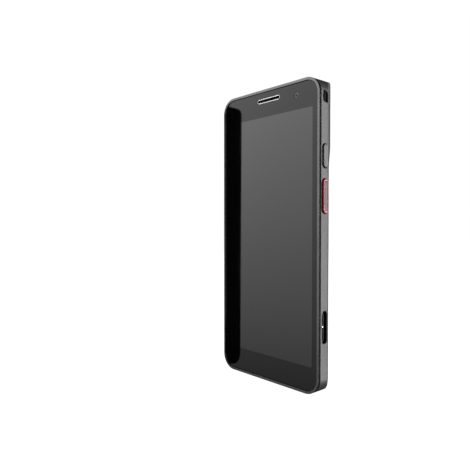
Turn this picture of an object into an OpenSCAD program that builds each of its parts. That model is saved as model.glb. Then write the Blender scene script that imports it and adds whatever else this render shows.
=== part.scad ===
// Rugged handheld data terminal, standing upright: +X to the right as its screen is read, +Y to
// the back, +Z up, origin in the middle of its footprint. Inside the modules, depth is counted
// along +Y from the front of the cover glass; in_frame() moves every piece into the part's frame.

/* [Body] */
// Width across the two flat side bands
body_w = 72.4; // [72.4:0.1:74]
// Length from the bottom end to the top end
body_h = 160; // [160:0.5:164]
// Depth of the grip behind the glass
grip_depth = 10.5; // [10.3:0.1:10.9]
// Depth of the hump behind the glass
hump_depth = 15.5; // [15.4:0.1:16.4]
// How far the rim stands in front of the glass
rim_height = 0.5; // [0.5:0.1:0.8]
// Corner radius of the front outline
corner_r = 8.6; // [8.2:0.1:9]
// Thickness of the housing's side walls
wall = 2; // [1.9:0.05:2.1]

/* [Hump] */
// Height where the grip starts to swell into the hump
hump_low = 108; // [107.5:0.5:108.5]
// Height where the hump has its full depth
hump_high = 127; // [126.5:0.5:127]
// Depth where the flat side band ends and the flank begins
band_depth = 6.1; // [6.1:0.05:6.3]
// Radius of the hump's long back edges
hump_edge_r = 5; // [4.5:0.1:5]

/* [Screen] */
// Width of the lit picture
picture_w = 62.8; // [61:0.2:63]
// Bottom of the lit picture
picture_low = 14; // [13:0.5:16]
// Top of the lit picture
picture_high = 145; // [143:0.5:146]
// Thickness of the cover glass
glass_t = 0.8; // [0.7:0.05:0.8]
// Length of the earpiece slot
earpiece_w = 17.2; // [14:0.2:18]
// Place of the front camera to the right of the middle
front_camera_x = 20.7; // [18:0.1:23]

/* [Buttons] */
// How far the scan buttons stand out of the side bands
scan_proud = 0.9; // [0.5:0.05:1]
// How far the power button stands out
power_proud = 0.7; // [0.3:0.05:0.8]
// How far the volume rocker stands out
volume_proud = 0.3; // [0.2:0.05:0.4]
// Travel of the scan buttons
scan_travel = 0.45; // [0.3:0.05:0.45]
// Play round every button in its hole
key_play = 0.15; // [0.12:0.01:0.2]

/* [Battery] */
// Bottom of the battery bay
bay_low = 20; // [20:0.1:20.5]
// Top of the battery bay
bay_high = 106.2; // [106:0.1:106.2]
// Width of the battery pack across its side seams
pack_w = 69.4; // [69:0.1:69.4]
// Gap of the seam round the battery pack
seam = 0.2; // [0.15:0.01:0.25]
// Travel of the battery latch
latch_travel = 2; // [1.5:0.1:2]

/* [Hidden] */
$fn = 48;

half_w = body_w / 2;
// Depth of the middle of the whole body, from the front of the rim to the back of the hump
mid_depth = (hump_depth - rim_height) / 2;
// The groove between the rim's lip, in front of the glass, and the housing
groove_front = -0.2;
groove_back = 0.55;
rim_w = 1.4;
rim_edge_r = 0.1;
// Width of the rim's web, which stands on the flange between the glass and the gasket
web_w = 0.5;
flange_back = 1.3;
flange_in = 4.4;
// Layer of glue behind the cover glass
glue = 0.05;
rabbet = 0.8;
chassis_front = 3.1;
chassis_back = 3.9;
ledge_back = 7.9;
ledge_in = 30.3;
skin_front = 8.8;
bulkhead = 1.2;
pack_low = bay_low + seam;
pack_high = bay_high - seam;
// Half the width of the flat back of the grip and of the hump
grip_flat = half_w - 8;
hump_flat = grip_flat - 0.2;
flank_steps = 8;
LEFT = -1;
RIGHT = 1;

// ---- shapes that repeat --------------------------------------------------------------------

module in_frame() {
    translate([0, -mid_depth, 0]) children();
}

// A rectangle with round corners, about the origin
module round_rect(w, h, r) {
    square([w, h - 2 * r], center = true);
    square([w - 2 * r, h], center = true);
    for (sx = [-1, 1], sy = [-1, 1]) translate([sx * (w / 2 - r), sy * (h / 2 - r)]) circle(r);
}

// A slab facing the front: w by h about (x, z), from depth y0 to depth y1
module slab(w, h, r, x, z, y0, y1) {
    translate([x, y1, z]) rotate([90, 0, 0]) linear_extrude(y1 - y0) round_rect(w, h, r);
}

// A slab given by its bottom and top heights
module slab_between(w, r, z0, z1, y0, y1, x = 0) {
    slab(w, z1 - z0, r, x, (z0 + z1) / 2, y0, y1);
}

// A plain block from corner to corner
module block(x0, x1, y0, y1, z0, z1) {
    translate([x0, y0, z0]) cube([x1 - x0, y1 - y0, z1 - z0]);
}

// A slab facing a side: d deep and h high about (y, z), from x0 to x1
module side_slab(d, h, r, y, z, x0, x1) {
    translate([x0, y, z]) rotate([90, 0, 90]) linear_extrude(x1 - x0) round_rect(d, h, r);
}

module disc_y(r, x, z, y0, y1) {
    translate([x, y1, z]) rotate([90, 0, 0]) cylinder(r = r, h = y1 - y0);
}

module disc_x(r, y, z, x0, x1) {
    translate([x0, y, z]) rotate([0, 90, 0]) cylinder(r = r, h = x1 - x0);
}

// The front outline, in from the edge by inset, from depth y0 to y1
module outline(inset, y0, y1) {
    slab_between(body_w - 2 * inset, corner_r - inset, inset, body_h - inset, y0, y1);
}

// A profile swept round the front outline. Its x is counted from the outer edge, positive
// outwards, and its y is the height in front of the glass.
module sweep_outline() {
    straight_w = body_w - 2 * corner_r;
    straight_h = body_h - 2 * corner_r;
    translate([0, 0, body_h / 2]) rotate([90, 0, 0]) for (turn = [0, 1]) rotate(180 * turn) {
        translate([half_w, straight_h / 2, 0]) rotate([90, 0, 0])
            linear_extrude(straight_h) children();
        rotate(90) translate([body_h / 2, straight_w / 2, 0]) rotate([90, 0, 0])
            linear_extrude(straight_w) children();
        translate([straight_w / 2, straight_h / 2, 0])
            rotate_extrude(angle = 90) translate([corner_r, 0]) children();
        translate([-straight_w / 2, straight_h / 2, 0]) rotate(90)
            rotate_extrude(angle = 90) translate([corner_r, 0]) children();
    }
}

// ---- the outer skin ------------------------------------------------------------------------

function ease(t) = let (c = min(max(t, 0), 1)) c * c * (3 - 2 * c);

// Flank of the grip: a quarter of an ellipse from the side band to the flat back
function grip_flank(k) = let (a = 90 * k / flank_steps)
    [grip_flat + (half_w - grip_flat) * cos(a),
     band_depth + (grip_depth - band_depth) * sin(a)];

// Flank of the hump: a straight slope, then a round edge
function hump_flank(k) = let (
        edge = [hump_flat, hump_depth - hump_edge_r],
        start = [half_w, band_depth],
        slope_end = [edge[0] + hump_edge_r, edge[1]])
    k < 2 ? start + (slope_end - start) * k / 2
          : edge + hump_edge_r * [cos(15 * (k - 2)), sin(15 * (k - 2))];

// Radius of the edge between the back and each end, and the share of it that the depth loses
end_r = 1.5;
end_share = 0.9;

// How much the round ends take off the depth at height z
function end_cut(z) = let (d = min(z, body_h - z))
    d >= end_r ? 0 : end_share * (end_r - sqrt(end_r * end_r - (end_r - d) * (end_r - d)));

function skin_point(k, z) = let (
        s = ease((z - hump_low) / (hump_high - hump_low)),
        p = grip_flank(k) * (1 - s) + hump_flank(k) * s,
        full = grip_depth * (1 - s) + hump_depth * s - band_depth)
    [p[0], band_depth + (p[1] - band_depth) * (1 - end_cut(z) / full)];

function skin_half(z) = concat([[half_w, groove_back]],
    [for (k = [0 : flank_steps]) skin_point(k, z)]);

function skin_section(z) = let (half = skin_half(z), n = len(half))
    concat(half, [for (i = [n - 1 : -1 : 0]) [-half[i][0], half[i][1]]]);

end_steps = [for (f = [0, 0.075, 0.3, 0.6, 1]) f * end_r];
skin_heights = concat(end_steps, [hump_low],
    [for (i = [1 : 11]) hump_low + (hump_high - hump_low) * i / 12],
    [hump_high], [for (i = [4 : -1 : 0]) body_h - end_steps[i]]);

module outer_skin() {
    n = 2 * (flank_steps + 2);
    rows = len(skin_heights);
    points = [for (z = skin_heights) for (p = skin_section(z)) [p[0], p[1], z]];
    polyhedron(points = points, faces = concat(
        [[for (i = [0 : n - 1]) i]],
        [[for (i = [n - 1 : -1 : 0]) (rows - 1) * n + i]],
        [for (j = [0 : rows - 2]) for (i = [0 : n - 1]) let (a = j * n + i, b = j * n + (i + 1) % n)
            each [[a, a + n, b + n], [a, b + n, b]]]), convexity = 6);
}

// The straight stretch of the skin over the battery, moved in by inset
module grip_prism(z0, z1) {
    half = concat([[half_w, 0]], [for (k = [0 : flank_steps]) grip_flank(k)]);
    n = len(half);
    translate([0, 0, z0]) linear_extrude(z1 - z0)
        polygon(concat(half, [for (i = [n - 1 : -1 : 0]) [-half[i][0], half[i][1]]]));
}

// ---- housing -------------------------------------------------------------------------------

scan_z = 100.2;
scan_h = 17.4;
scan_d = 4.5;
scan_depth = 3.95;
power_z = 120.2;
power_h = 12;
key_d = 4.1;
key_depth = 4.05;
volume_z = 121.6;
volume_h = 14.6;
volume_d = 2;
volume_depth = 3.9;
side_port_z = 34.5;
side_port_h = 16.4;
side_port_d = 3.6;
side_port_depth = 4.05;
lanyard_z0 = 146.9;
lanyard_z1 = 152.7;
lanyard_d0 = 2.6;
lanyard_d1 = 6;
lanyard_in = 3.2;
lanyard_pin_r = 0.6;
lanyard_pin_in = 0.9;
lanyard_pin_depth = 4.3;
side_contact_depth = 2.9;
side_contact_z = 35;
side_contact_r = 0.5;
mic_r = 0.65;
mic_z = 129.35;
earpiece_x = 0.6;
earpiece_z = 154;
earpiece_h = 2.6;
front_camera_z = 152.4;
front_camera_r = 1.7;
strap_low = 122.3;
strap_high = 131.3;
strap_slot_h = 3.2;
strap_w = 17.2;
strap_floor = 12.9;
hump_room_low = 124;
hump_room_back = hump_depth - 1.6;
window_high = 112.7;
window_w = 17.2;
window_floor = 8.3;
recess_floor = 8.6;
thumb_low = 98;
recess_low = thumb_low - latch_travel - 0.3;
tab_x = 14;
tab_front = 5.3;
slider_low = 95.9;
slider_high = 110.9;
slider_front = 8.7;
slider_back = 9.3;
screw_r = 0.8;
screw_head_r = 1.5;
housing_screw_z = [22.6, 58, 84];
board_screws = [[24.5, 6], [27.8, 111], [26, 153]];
channel_low = 88;
channel_high = 131;
housing_screw_x = 32.2;
camera_x = 16.8;
camera_low = 133.6;
camera_high = 154;
camera_w = 9.2;
label_x = -18;
label_w = 10.2;
label_low = 134.3;
label_high = 153.6;
contact_slot_z = 135.5;
port_depth = 5.55;
port_w = 9.1;
port_h = 3.3;
speaker_slot_z = 6.2;
speaker_slot_w = 15.8;
speaker_slot_h = 2.2;
scan_window_w = 26;
scan_window_d = 5.4;
scan_window_depth = 10;
mark_z = 145.2;
mark_x = -0.8;

module button_hole(side, depth, z, d, h) {
    play = 2 * key_play;
    side_slab(d + play, h + play, (d + play) / 2 - 0.01, depth, z,
        side == RIGHT ? half_w - wall - 1.4 : -half_w - 0.5,
        side == RIGHT ? half_w + 0.5 : -half_w + wall + 1.4);
}

module housing_screw_places() {
    for (sx = [-1, 1], z = housing_screw_z) translate([sx * housing_screw_x, 0, z]) children();
}

// Slots across the back for the hand strap, joined behind a bridge
module strap_passage() {
    for (z = [strap_low, strap_high - strap_slot_h])
        slab_between(strap_w, 0.6, z, z + strap_slot_h, strap_floor, hump_depth + 1);
    block(-strap_w / 2, strap_w / 2, strap_floor, strap_floor + 0.9, strap_low + 1, strap_high - 1);
}

module rear_housing() color([0.16, 0.16, 0.17]) in_frame() difference() {
    union() {
        difference() {
            intersection() {
                outer_skin();
                outline(0, 0, hump_depth + 1);
            }
            // room for the screen and the chassis, open to the front
            outline(wall, 0, chassis_back + 0.1);
            outline(rabbet, 0, flange_back + 0.1);
            // electronics, above and below the battery bay
            for (z = [[wall, bay_low - bulkhead], [bay_high + bulkhead, body_h - wall]]) {
                intersection() {
                    outline(wall, chassis_back, band_depth);
                    block(-half_w, half_w, 0, 20, z[0], z[1]);
                }
            }
            slab_between(64, 6, 2.6, bay_low - bulkhead, 5, skin_front);
            slab_between(64, 6, 114.2, body_h - 2.6, 5, skin_front);
            for (sx = [-1, 1]) side_block(sx, ledge_in, half_w - wall, chassis_back, band_depth,
                channel_low, channel_high);
            slab_between(59, 3, hump_room_low, body_h - 2.6, 8, hump_room_back);
        }
        // material behind the strap passage and round the accessory contacts
        block(-10.2, 10.2, strap_floor - 1.3, hump_depth - 1, hump_room_low - 0.1,
            contact_slot_z + 3.2);
        // ears that the lanyard pin runs through
        block(half_w - lanyard_in - 1.1, half_w - wall + 0.1, 2, band_depth + 0.2,
            lanyard_z0 - 1.6, lanyard_z1 + 1.6);
    }
    // battery bay, with a ledge under the pack's skirt
    intersection() {
        outline(wall, chassis_back, band_depth);
        block(-half_w, half_w, 0, 20, bay_low, bay_high);
    }
    slab_between(2 * ledge_in, 1, bay_low, bay_high, 3, hump_depth);
    for (sx = [-1, 1]) block(sx * tab_x - 4.4, sx * tab_x + 4.4, tab_front - 0.4, tab_front + 1.7,
        bay_low - bulkhead - 0.2, bay_low + 1);
    slab_between(pack_w + 2 * seam, 2.2, bay_low, bay_high, ledge_back, hump_depth);
    housing_screw_places() {
        disc_y(screw_r + 0.1, 0, 0, 3, 9);
        disc_y(screw_head_r + 0.2, 0, 0, ledge_back - 0.7, 9);
    }
    // side openings
    button_hole(RIGHT, scan_depth, scan_z, scan_d, scan_h);
    button_hole(LEFT, scan_depth, scan_z, scan_d, scan_h);
    button_hole(RIGHT, key_depth, power_z, key_d, power_h);
    button_hole(LEFT, volume_depth, volume_z, volume_d, volume_h);
    for (side = [LEFT, RIGHT]) on_side(side) side_slab(side_port_d, side_port_h,
        side_port_d / 2 - 0.01, side_port_depth, side_port_z, half_w - wall - 1, half_w + 1);
    // lanyard eye: a pocket behind the side band, with a pin across it
    lanyard_eye(half_w - lanyard_in, half_w + 1);
    lanyard_rod(lanyard_pin_r + 0.03, 1.2);
    side_slab(2.8, 5, 1.39, 3.2, 147.4, -half_w - 1, -half_w + 1.2);
    // back openings
    strap_passage();
    slab_between(window_w, 0.6, bay_high - 1, window_high, window_floor, hump_depth);
    slab_between(14, 0.6, contact_slot_z - 1.4, contact_slot_z + 1.4, 13.6, hump_depth + 1);
    slab_between(camera_w + 0.2, 1.4, camera_low, camera_high, hump_depth - 0.9, hump_depth + 1,
        camera_x);
    slab_between(6.2, 0.5, 134.6, 152, 12, hump_depth + 1, camera_x - 1);
    slab_between(label_w + 0.3, 1.3, label_low, label_high, hump_depth - 0.3, hump_depth + 1,
        label_x);
    slab(7, 7, 1, mark_x, mark_z, hump_depth - 0.25, hump_depth + 1);
    for (x = [-19.5, -15.8, 16.9]) disc_y(mic_r, x, mic_z, 9, hump_depth + 1);
    // bottom end: port, speaker slot and dock contacts
    translate([0, port_depth, -1]) linear_extrude(6) round_rect(port_w, port_h, port_h / 2 - 0.01);
    for (x = [-12, 12]) translate([x, port_depth, -1]) cylinder(r = 1.3, h = 6);
    slab(speaker_slot_w, speaker_slot_h, speaker_slot_h / 2 - 0.01, 0, speaker_slot_z, 7,
        grip_depth + 1);
    // scan window in the top end
    translate([0, scan_window_depth, body_h - 4]) linear_extrude(6)
        round_rect(scan_window_w, scan_window_d, 2);
}

module side_block(side, x0, x1, y0, y1, z0, z1) {
    on_side(side) block(x0, x1, y0, y1, z0, z1);
}

module on_side(side) {
    if (side == RIGHT) children();
    else mirror([1, 0, 0]) children();
}

module lanyard_eye(x0, x1) {
    translate([x0, 0, 0]) rotate([90, 0, 90]) linear_extrude(x1 - x0) polygon([
        [lanyard_d0, lanyard_z0 + 0.8], [lanyard_d0 + 0.4, lanyard_z0 + 0.4],
        [lanyard_d1 - 0.9, lanyard_z0], [lanyard_d1 - 0.3, lanyard_z0 + 0.1],
        [lanyard_d1, lanyard_z0 + 0.5], [lanyard_d1, lanyard_z1 - 1.5],
        [lanyard_d1 - 0.8, lanyard_z1 - 0.6], [lanyard_d0 + 1.5, lanyard_z1],
        [lanyard_d0 + 0.7, lanyard_z1 - 0.1], [lanyard_d0, lanyard_z1 - 1]
    ]);
}

// Steel pin through the lanyard eye, along its height
module lanyard_rod(r, past) {
    translate([half_w - lanyard_pin_in, lanyard_pin_depth, lanyard_z0 - past])
        cylinder(r = r, h = lanyard_z1 - lanyard_z0 + 2 * past);
}

module lanyard_pin() color([0.55, 0.56, 0.58]) in_frame() lanyard_rod(lanyard_pin_r, 1.1);

// ---- front ---------------------------------------------------------------------------------

// Section of the bezel: a flat rim with round edges, a web and a flange behind the glass
module rim_profile() {
    translate([-rim_w / 2, (rim_height - groove_front) / 2])
        round_rect(rim_w, rim_height + groove_front, rim_edge_r);
    translate([-rim_w, -flange_back]) square([web_w, flange_back + rim_height - rim_edge_r]);
    translate([-flange_in, -flange_back])
        square([flange_in - rim_w + web_w, flange_back - glass_t - glue]);
}

module front_bezel() color([0.2, 0.2, 0.21]) in_frame() sweep_outline() rim_profile();

module bezel_gasket() color([0.05, 0.05, 0.05]) in_frame() sweep_outline()
    translate([-rabbet - 0.05, -groove_back + 0.05])
        square([0.5, groove_back - groove_front - 0.1]);

module cover_glass() color([0.08, 0.08, 0.09]) in_frame() difference() {
    outline(rim_w + 0.1, 0, glass_t);
    slab(earpiece_w, earpiece_h, earpiece_h / 2 - 0.01, earpiece_x, earpiece_z, -1, 2);
    disc_y(front_camera_r, front_camera_x, front_camera_z, -1, 2);
}

module display_panel() color([0.25, 0.26, 0.28]) in_frame()
    slab_between(picture_w + 0.6, 0.8, picture_low - 2.4, picture_high + 0.6, glass_t + glue, 2.2);

module backlight() color([0.8, 0.82, 0.85]) in_frame()
    slab_between(picture_w + 0.6, 0.8, picture_low - 2.4, picture_high + 0.6, 2.25, 3);

module earpiece_grille() color([0.45, 0.46, 0.48]) in_frame() difference() {
    slab(earpiece_w - 0.1, earpiece_h - 0.1, earpiece_h / 2 - 0.06, earpiece_x, earpiece_z, 0, 0.7);
    slab(earpiece_w - 1.1, earpiece_h - 1.1, earpiece_h / 2 - 0.56, earpiece_x, earpiece_z, -1, 0.4);
    for (k = [-6 : 6]) disc_y(0.3, earpiece_x + 1.1 * k, earpiece_z, -1, 2);
}

module earpiece_receiver() color([0.3, 0.3, 0.32]) in_frame()
    slab(15, 5.6, 1, earpiece_x, 152.4, 0.9, 2.9);

module front_camera() color([0.1, 0.1, 0.12]) in_frame() {
    disc_y(front_camera_r - 0.1, front_camera_x, front_camera_z, 0.02, 1);
    slab(6, 6, 0.6, front_camera_x, front_camera_z, 0.9, 2.9);
}

module board_screw_places() {
    for (sx = [-1, 1], p = board_screws) translate([sx * p[0], 0, p[1]]) children();
}

module mid_chassis() color([0.6, 0.61, 0.63]) in_frame() difference() {
    union() {
        outline(wall + 0.15, chassis_front, chassis_back);
        housing_screw_places() disc_y(1.6, 0, 0, chassis_front, band_depth - 0.05);
        board_screw_places() disc_y(2.4, 0, 0, chassis_front, 4.5);
    }
    housing_screw_places() disc_y(screw_r + 0.02, 0, 0, 2, 8);
    board_screw_places() disc_y(screw_r + 0.02, 0, 0, 2, 6);
    slab(20, 3, 1, 0, 149, 2, 5);
    slab(30, 4, 1, 0, 8, 2, 5);
    // notches for the side buttons, the side ports and the lanyard eye
    for (side = [LEFT, RIGHT]) {
        side_block(side, 31.7, half_w, 2, 5, channel_low, channel_high);
        side_block(side, 33.1, half_w, 2, 5, side_port_z - 9, side_port_z + 9);
    }
    block(31.7, half_w, 2, 5, lanyard_z0 - 2, lanyard_z1 + 2);
}

// A cross-head screw along the depth, its head at the back
module screw(y_head, y_tip) {
    difference() {
        union() {
            disc_y(screw_head_r, 0, 0, y_head - 0.65, y_head);
            disc_y(screw_r - 0.02, 0, 0, y_tip, y_head - 0.6);
        }
        slab(1.6, 0.36, 0.05, 0, 0, y_head - 0.35, y_head + 1);
        slab(0.36, 1.6, 0.05, 0, 0, y_head - 0.35, y_head + 1);
    }
}

// Screws from the bay ledge into the chassis
module housing_screws() color([0.5, 0.5, 0.52]) in_frame()
    housing_screw_places() screw(ledge_back - 0.02, chassis_front + 0.1);

// Screws that hold the two boards to the chassis
module chassis_screws() color([0.62, 0.62, 0.6]) in_frame()
    board_screw_places() screw(6.05, chassis_front + 0.1);

// ---- electronics ---------------------------------------------------------------------------

board_front = 4.55;
board_back = 5.35;

module main_board() color([0.05, 0.28, 0.16]) in_frame() difference() {
    slab_between(59, 4, 109.6, 156, board_front, board_back);
    board_screw_places() disc_y(screw_r + 0.2, 0, 0, 4, 6);
}

// One hollow pressed can
module shield_can(x0, x1, z0, z1, back) {
    difference() {
        block(x0, x1, board_back + 0.05, back, z0, z1);
        block(x0 + 0.2, x1 - 0.2, board_back - 1, back - 0.2, z0 + 0.2, z1 - 0.2);
    }
}

module board_shields() color([0.7, 0.7, 0.68]) in_frame() {
    shield_can(-27, -3, 124, 141, 7.4);
    shield_can(3, 27, 115.5, 133, 7.4);
}

module scan_engine() color([0.12, 0.12, 0.13]) in_frame() difference() {
    block(-11, 11, 8.4, 13.6, 142, 155.6);
    block(-9.5, -1, 9.2, 12.8, 153.6, 156);
    translate([5, 11, 153]) cylinder(r = 2, h = 4);
}

module scan_window() color([0.3, 0.05, 0.08]) in_frame()
    translate([0, scan_window_depth, body_h - 2.5]) linear_extrude(2)
        round_rect(scan_window_w - 0.2, scan_window_d - 0.2, 1.9);

module scan_window_seal() color([0.05, 0.05, 0.05]) in_frame()
    translate([0, scan_window_depth, body_h - 3.4]) linear_extrude(0.7) difference() {
        round_rect(scan_window_w + 3, scan_window_d + 1.6, 2.5);
        round_rect(scan_window_w - 3, scan_window_d - 1.6, 1.5);
    }

lens_x = 15.75;
lens_z = 138.3;
flash_z = 148.9;
cover_floor = hump_depth - 0.88;
cover_face = hump_depth - 0.2;

module rear_camera() color([0.1, 0.1, 0.11]) in_frame() {
    slab(7.6, 7.6, 0.6, lens_x + 0.8, lens_z, 9, hump_room_back - 0.05);
    disc_y(2.4, lens_x, lens_z, 13, cover_floor - 0.05);
}

module camera_cover() color([0.09, 0.09, 0.1]) in_frame() difference() {
    slab_between(camera_w, 1.3, camera_low + 0.1, camera_high - 0.1, cover_floor, cover_face,
        camera_x);
    disc_y(3, lens_x, lens_z, 10, 20);
    disc_y(1.85, lens_x, flash_z, 10, 20);
    slab_between(7.4, 0.25, 152.4, 153.1, cover_face - 0.3, 20, camera_x);
}

module camera_lens_ring() color([0.6, 0.6, 0.62]) in_frame() difference() {
    disc_y(2.95, lens_x, lens_z, cover_floor, cover_face + 0.1);
    disc_y(2.2, lens_x, lens_z, 10, 20);
}

module rear_lens() color([0.1, 0.12, 0.2]) in_frame()
    disc_y(2.15, lens_x, lens_z, cover_floor, cover_face - 0.1);

module flash_lens() color([0.95, 0.95, 0.9]) in_frame()
    disc_y(1.8, lens_x, flash_z, cover_floor, cover_face);

module rear_label() color([0.9, 0.88, 0.6]) in_frame()
    slab_between(label_w, 1.2, label_low + 0.15, label_high - 0.15, hump_depth - 0.28,
        hump_depth - 0.02, label_x);

// A generic sign for the contactless reading point: a dot and two arcs
module contactless_mark() color([0.75, 0.75, 0.76]) in_frame()
    intersection() {
        slab(6.8, 6.8, 0.9, mark_x, mark_z, hump_depth - 0.22, hump_depth - 0.02);
        union() {
            disc_y(0.8, mark_x - 2, mark_z, 14, 17);
            for (r = [2.2, 4]) difference() {
                disc_y(r + 0.35, mark_x - 2, mark_z, 14, 17);
                disc_y(r - 0.35, mark_x - 2, mark_z, 13, 18);
                block(mark_x - 9, mark_x - 1.2, 13, 18, mark_z - 9, mark_z + 9);
            }
        }
    }

module contactless_coil() color([0.72, 0.45, 0.25]) in_frame() difference() {
    slab(19, 13.6, 2, -1, 146, hump_room_back - 0.3, hump_room_back - 0.05);
    slab(14, 8.6, 1, -1, 146, 13, hump_depth);
}

clip_back = hump_depth - 0.6;

module strap_clips() color([0.8, 0.8, 0.82]) in_frame() {
    block(-8.4, -3, strap_floor + 0.05, clip_back, strap_high - 3.05, strap_high - 1.95);
    block(-8.4, -1.6, strap_floor + 0.05, clip_back, strap_low + 0.7, strap_low + 1.9);
}

module accessory_contacts() color([0.9, 0.85, 0.7]) in_frame()
    for (x = [4.1, -5.05]) disc_y(0.95, x, contact_slot_z, 13.62, hump_depth - 0.9);

module microphones() color([0.6, 0.6, 0.55]) in_frame()
    for (x = [-20.2, -15.4, 16.9]) slab(3.2, 2.6, 0.3, x, mic_z,
        hump_room_back - 1.3, hump_room_back - 0.05);

module battery_connector() color([0.1, 0.1, 0.1]) in_frame() {
    block(11, 25, chassis_back + 0.05, 6.1, 94, 97.5);
    for (x = [13 : 3.2 : 23]) block(x, x + 1.4, 4.8, 5.8, 93.55, 94);
}

module card_socket() color([0.68, 0.68, 0.66]) in_frame() difference() {
    block(-17, -1, chassis_back + 0.05, 5.5, 94.6, 104.4);
    block(-16.4, -1.6, 4.5, 5.2, 90, 103.4);
}

module port_board() color([0.05, 0.28, 0.16]) in_frame() difference() {
    slab_between(54, 3, 3.3, 17.4, board_front, board_back);
    board_screw_places() disc_y(screw_r + 0.2, 0, 0, 4, 6);
    block(-4.7, 4.7, 4, 6, 0, 8);
}

module usb_shell() color([0.75, 0.75, 0.76]) in_frame()
    translate([0, port_depth, 0.3]) difference() {
        linear_extrude(7.2) round_rect(8.94, 3.16, 1.57);
        translate([0, 0, -1]) linear_extrude(7.8) round_rect(8.34, 2.56, 1.27);
    }

module usb_tongue() color([0.08, 0.08, 0.08]) in_frame()
    translate([0, port_depth, 1.1]) linear_extrude(5.65) round_rect(6.7, 0.7, 0.2);

module dock_contacts() color([0.85, 0.7, 0.35]) in_frame()
    for (x = [-12, 12]) translate([x, port_depth, 0.25]) cylinder(r = 1.2, h = 2.8);

module loudspeaker() color([0.15, 0.15, 0.16]) in_frame()
    slab_between(19, 1.5, 8.3, 17.3, board_back + 0.1, 8.5);

module speaker_mesh() color([0.3, 0.3, 0.3]) in_frame() difference() {
    slab(17.6, 3.4, 0.8, 0, speaker_slot_z, skin_front - 0.3, skin_front - 0.02);
    for (x = [-7.5 : 1 : 7.5], z = [-0.6, 0.6]) disc_y(0.3, x, speaker_slot_z + z, 8, 9);
}

module vibration_motor() color([0.66, 0.66, 0.67]) in_frame()
    disc_y(4, 18.5, 12, board_back + 0.1, 8.1);

// ---- side controls -------------------------------------------------------------------------

key_flange = half_w - wall - 1;
switch_face = key_flange - 0.6 - scan_travel - 0.1;
plunger_depth = 5.1;
switch_back = band_depth - 0.15;

// A button drawn on the right side: its cap, the tabs that keep it in, and its plunger
module button(depth, z, d, h, proud, flange_back_off = 0) {
    side_slab(d, h, d / 2 - 0.01, depth, z, key_flange + 0.4, half_w + proud);
    side_slab(min(d, 3.8), h + 2, 0.5, depth, z, key_flange - flange_back_off,
        key_flange + 0.75 - flange_back_off);
}

module plunger(z) {
    side_slab(1.4, 2, 0.3, plunger_depth, z, key_flange - 0.6, key_flange + 0.2);
}

module scan_button() difference() {
    union() {
        button(scan_depth, scan_z, scan_d, scan_h, scan_proud);
        plunger(scan_z);
    }
    side_slab(scan_d - 1.9, scan_h - 2.2, (scan_d - 1.9) / 2 - 0.01, scan_depth, scan_z,
        half_w + scan_proud - 0.35, half_w + 1);
}

module scan_pad() {
    side_slab(scan_d - 2, scan_h - 2.3, (scan_d - 2) / 2 - 0.01, scan_depth, scan_z,
        half_w + scan_proud - 0.34, half_w + scan_proud - 0.12);
}

module scan_button_right() color([0.7, 0.12, 0.14]) in_frame() scan_button();
module scan_pad_right() color([0.12, 0.05, 0.06]) in_frame() scan_pad();
module scan_button_left() color([0.7, 0.12, 0.14]) in_frame() on_side(LEFT) scan_button();
module scan_pad_left() color([0.12, 0.05, 0.06]) in_frame() on_side(LEFT) scan_pad();

module power_button() color([0.3, 0.3, 0.31]) in_frame() {
    button(key_depth, power_z, key_d, power_h, power_proud);
    plunger(power_z);
}

module volume_rocker() color([0.2, 0.2, 0.21]) in_frame() on_side(LEFT) {
    button(volume_depth, volume_z, volume_d, volume_h, volume_proud, 0.25);
    for (z = [-5.1, 5.1]) side_slab(1.2, 2, 0.3, 4.5, volume_z + z, key_flange - 0.65,
        key_flange + 0.2);
}

module side_switches() color([0.75, 0.72, 0.6]) in_frame() {
    for (z = [scan_z, power_z]) block(31.05, switch_face, 4.3, switch_back, z - 1.5, z + 1.5);
    for (z = [scan_z, volume_z - 5.1, volume_z + 5.1])
        side_block(LEFT, 31.05, switch_face, 4.3, switch_back, z - 1.5, z + 1.5);
}

module side_flex() color([0.75, 0.5, 0.15]) in_frame()
    for (side = [LEFT, RIGHT]) side_block(side, 30.65, 31, 4.2, switch_back, 92, 129);

module side_port_inserts() color([0.03, 0.03, 0.03]) in_frame()
    for (side = [LEFT, RIGHT]) on_side(side) {
        side_slab(side_port_d - 0.1, side_port_h - 0.1, side_port_d / 2 - 0.06, side_port_depth,
            side_port_z, half_w - wall - 0.9, half_w - 1.5);
        side_slab(0.5, side_port_h - 4, 0.2, side_port_depth + 0.3, side_port_z, half_w - 1.6,
            half_w - 1.1);
    }

// One bright contact near the front edge of each side slot
module side_port_pins() color([0.9, 0.88, 0.8]) in_frame()
    for (side = [LEFT, RIGHT]) on_side(side)
        disc_x(side_contact_r, side_contact_depth, side_contact_z, half_w - 1.48, half_w - 0.2);

// ---- battery and latch ---------------------------------------------------------------------

tub_front = 4.3;
tub_half = 29.9;
tub_high = 93;
shelf_front = 6.4;
spring_low = 86.1;
spring_r = 0.62;
wire_r = 0.18;
spring_turns = 7;
spring_depth = 7.8;

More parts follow.
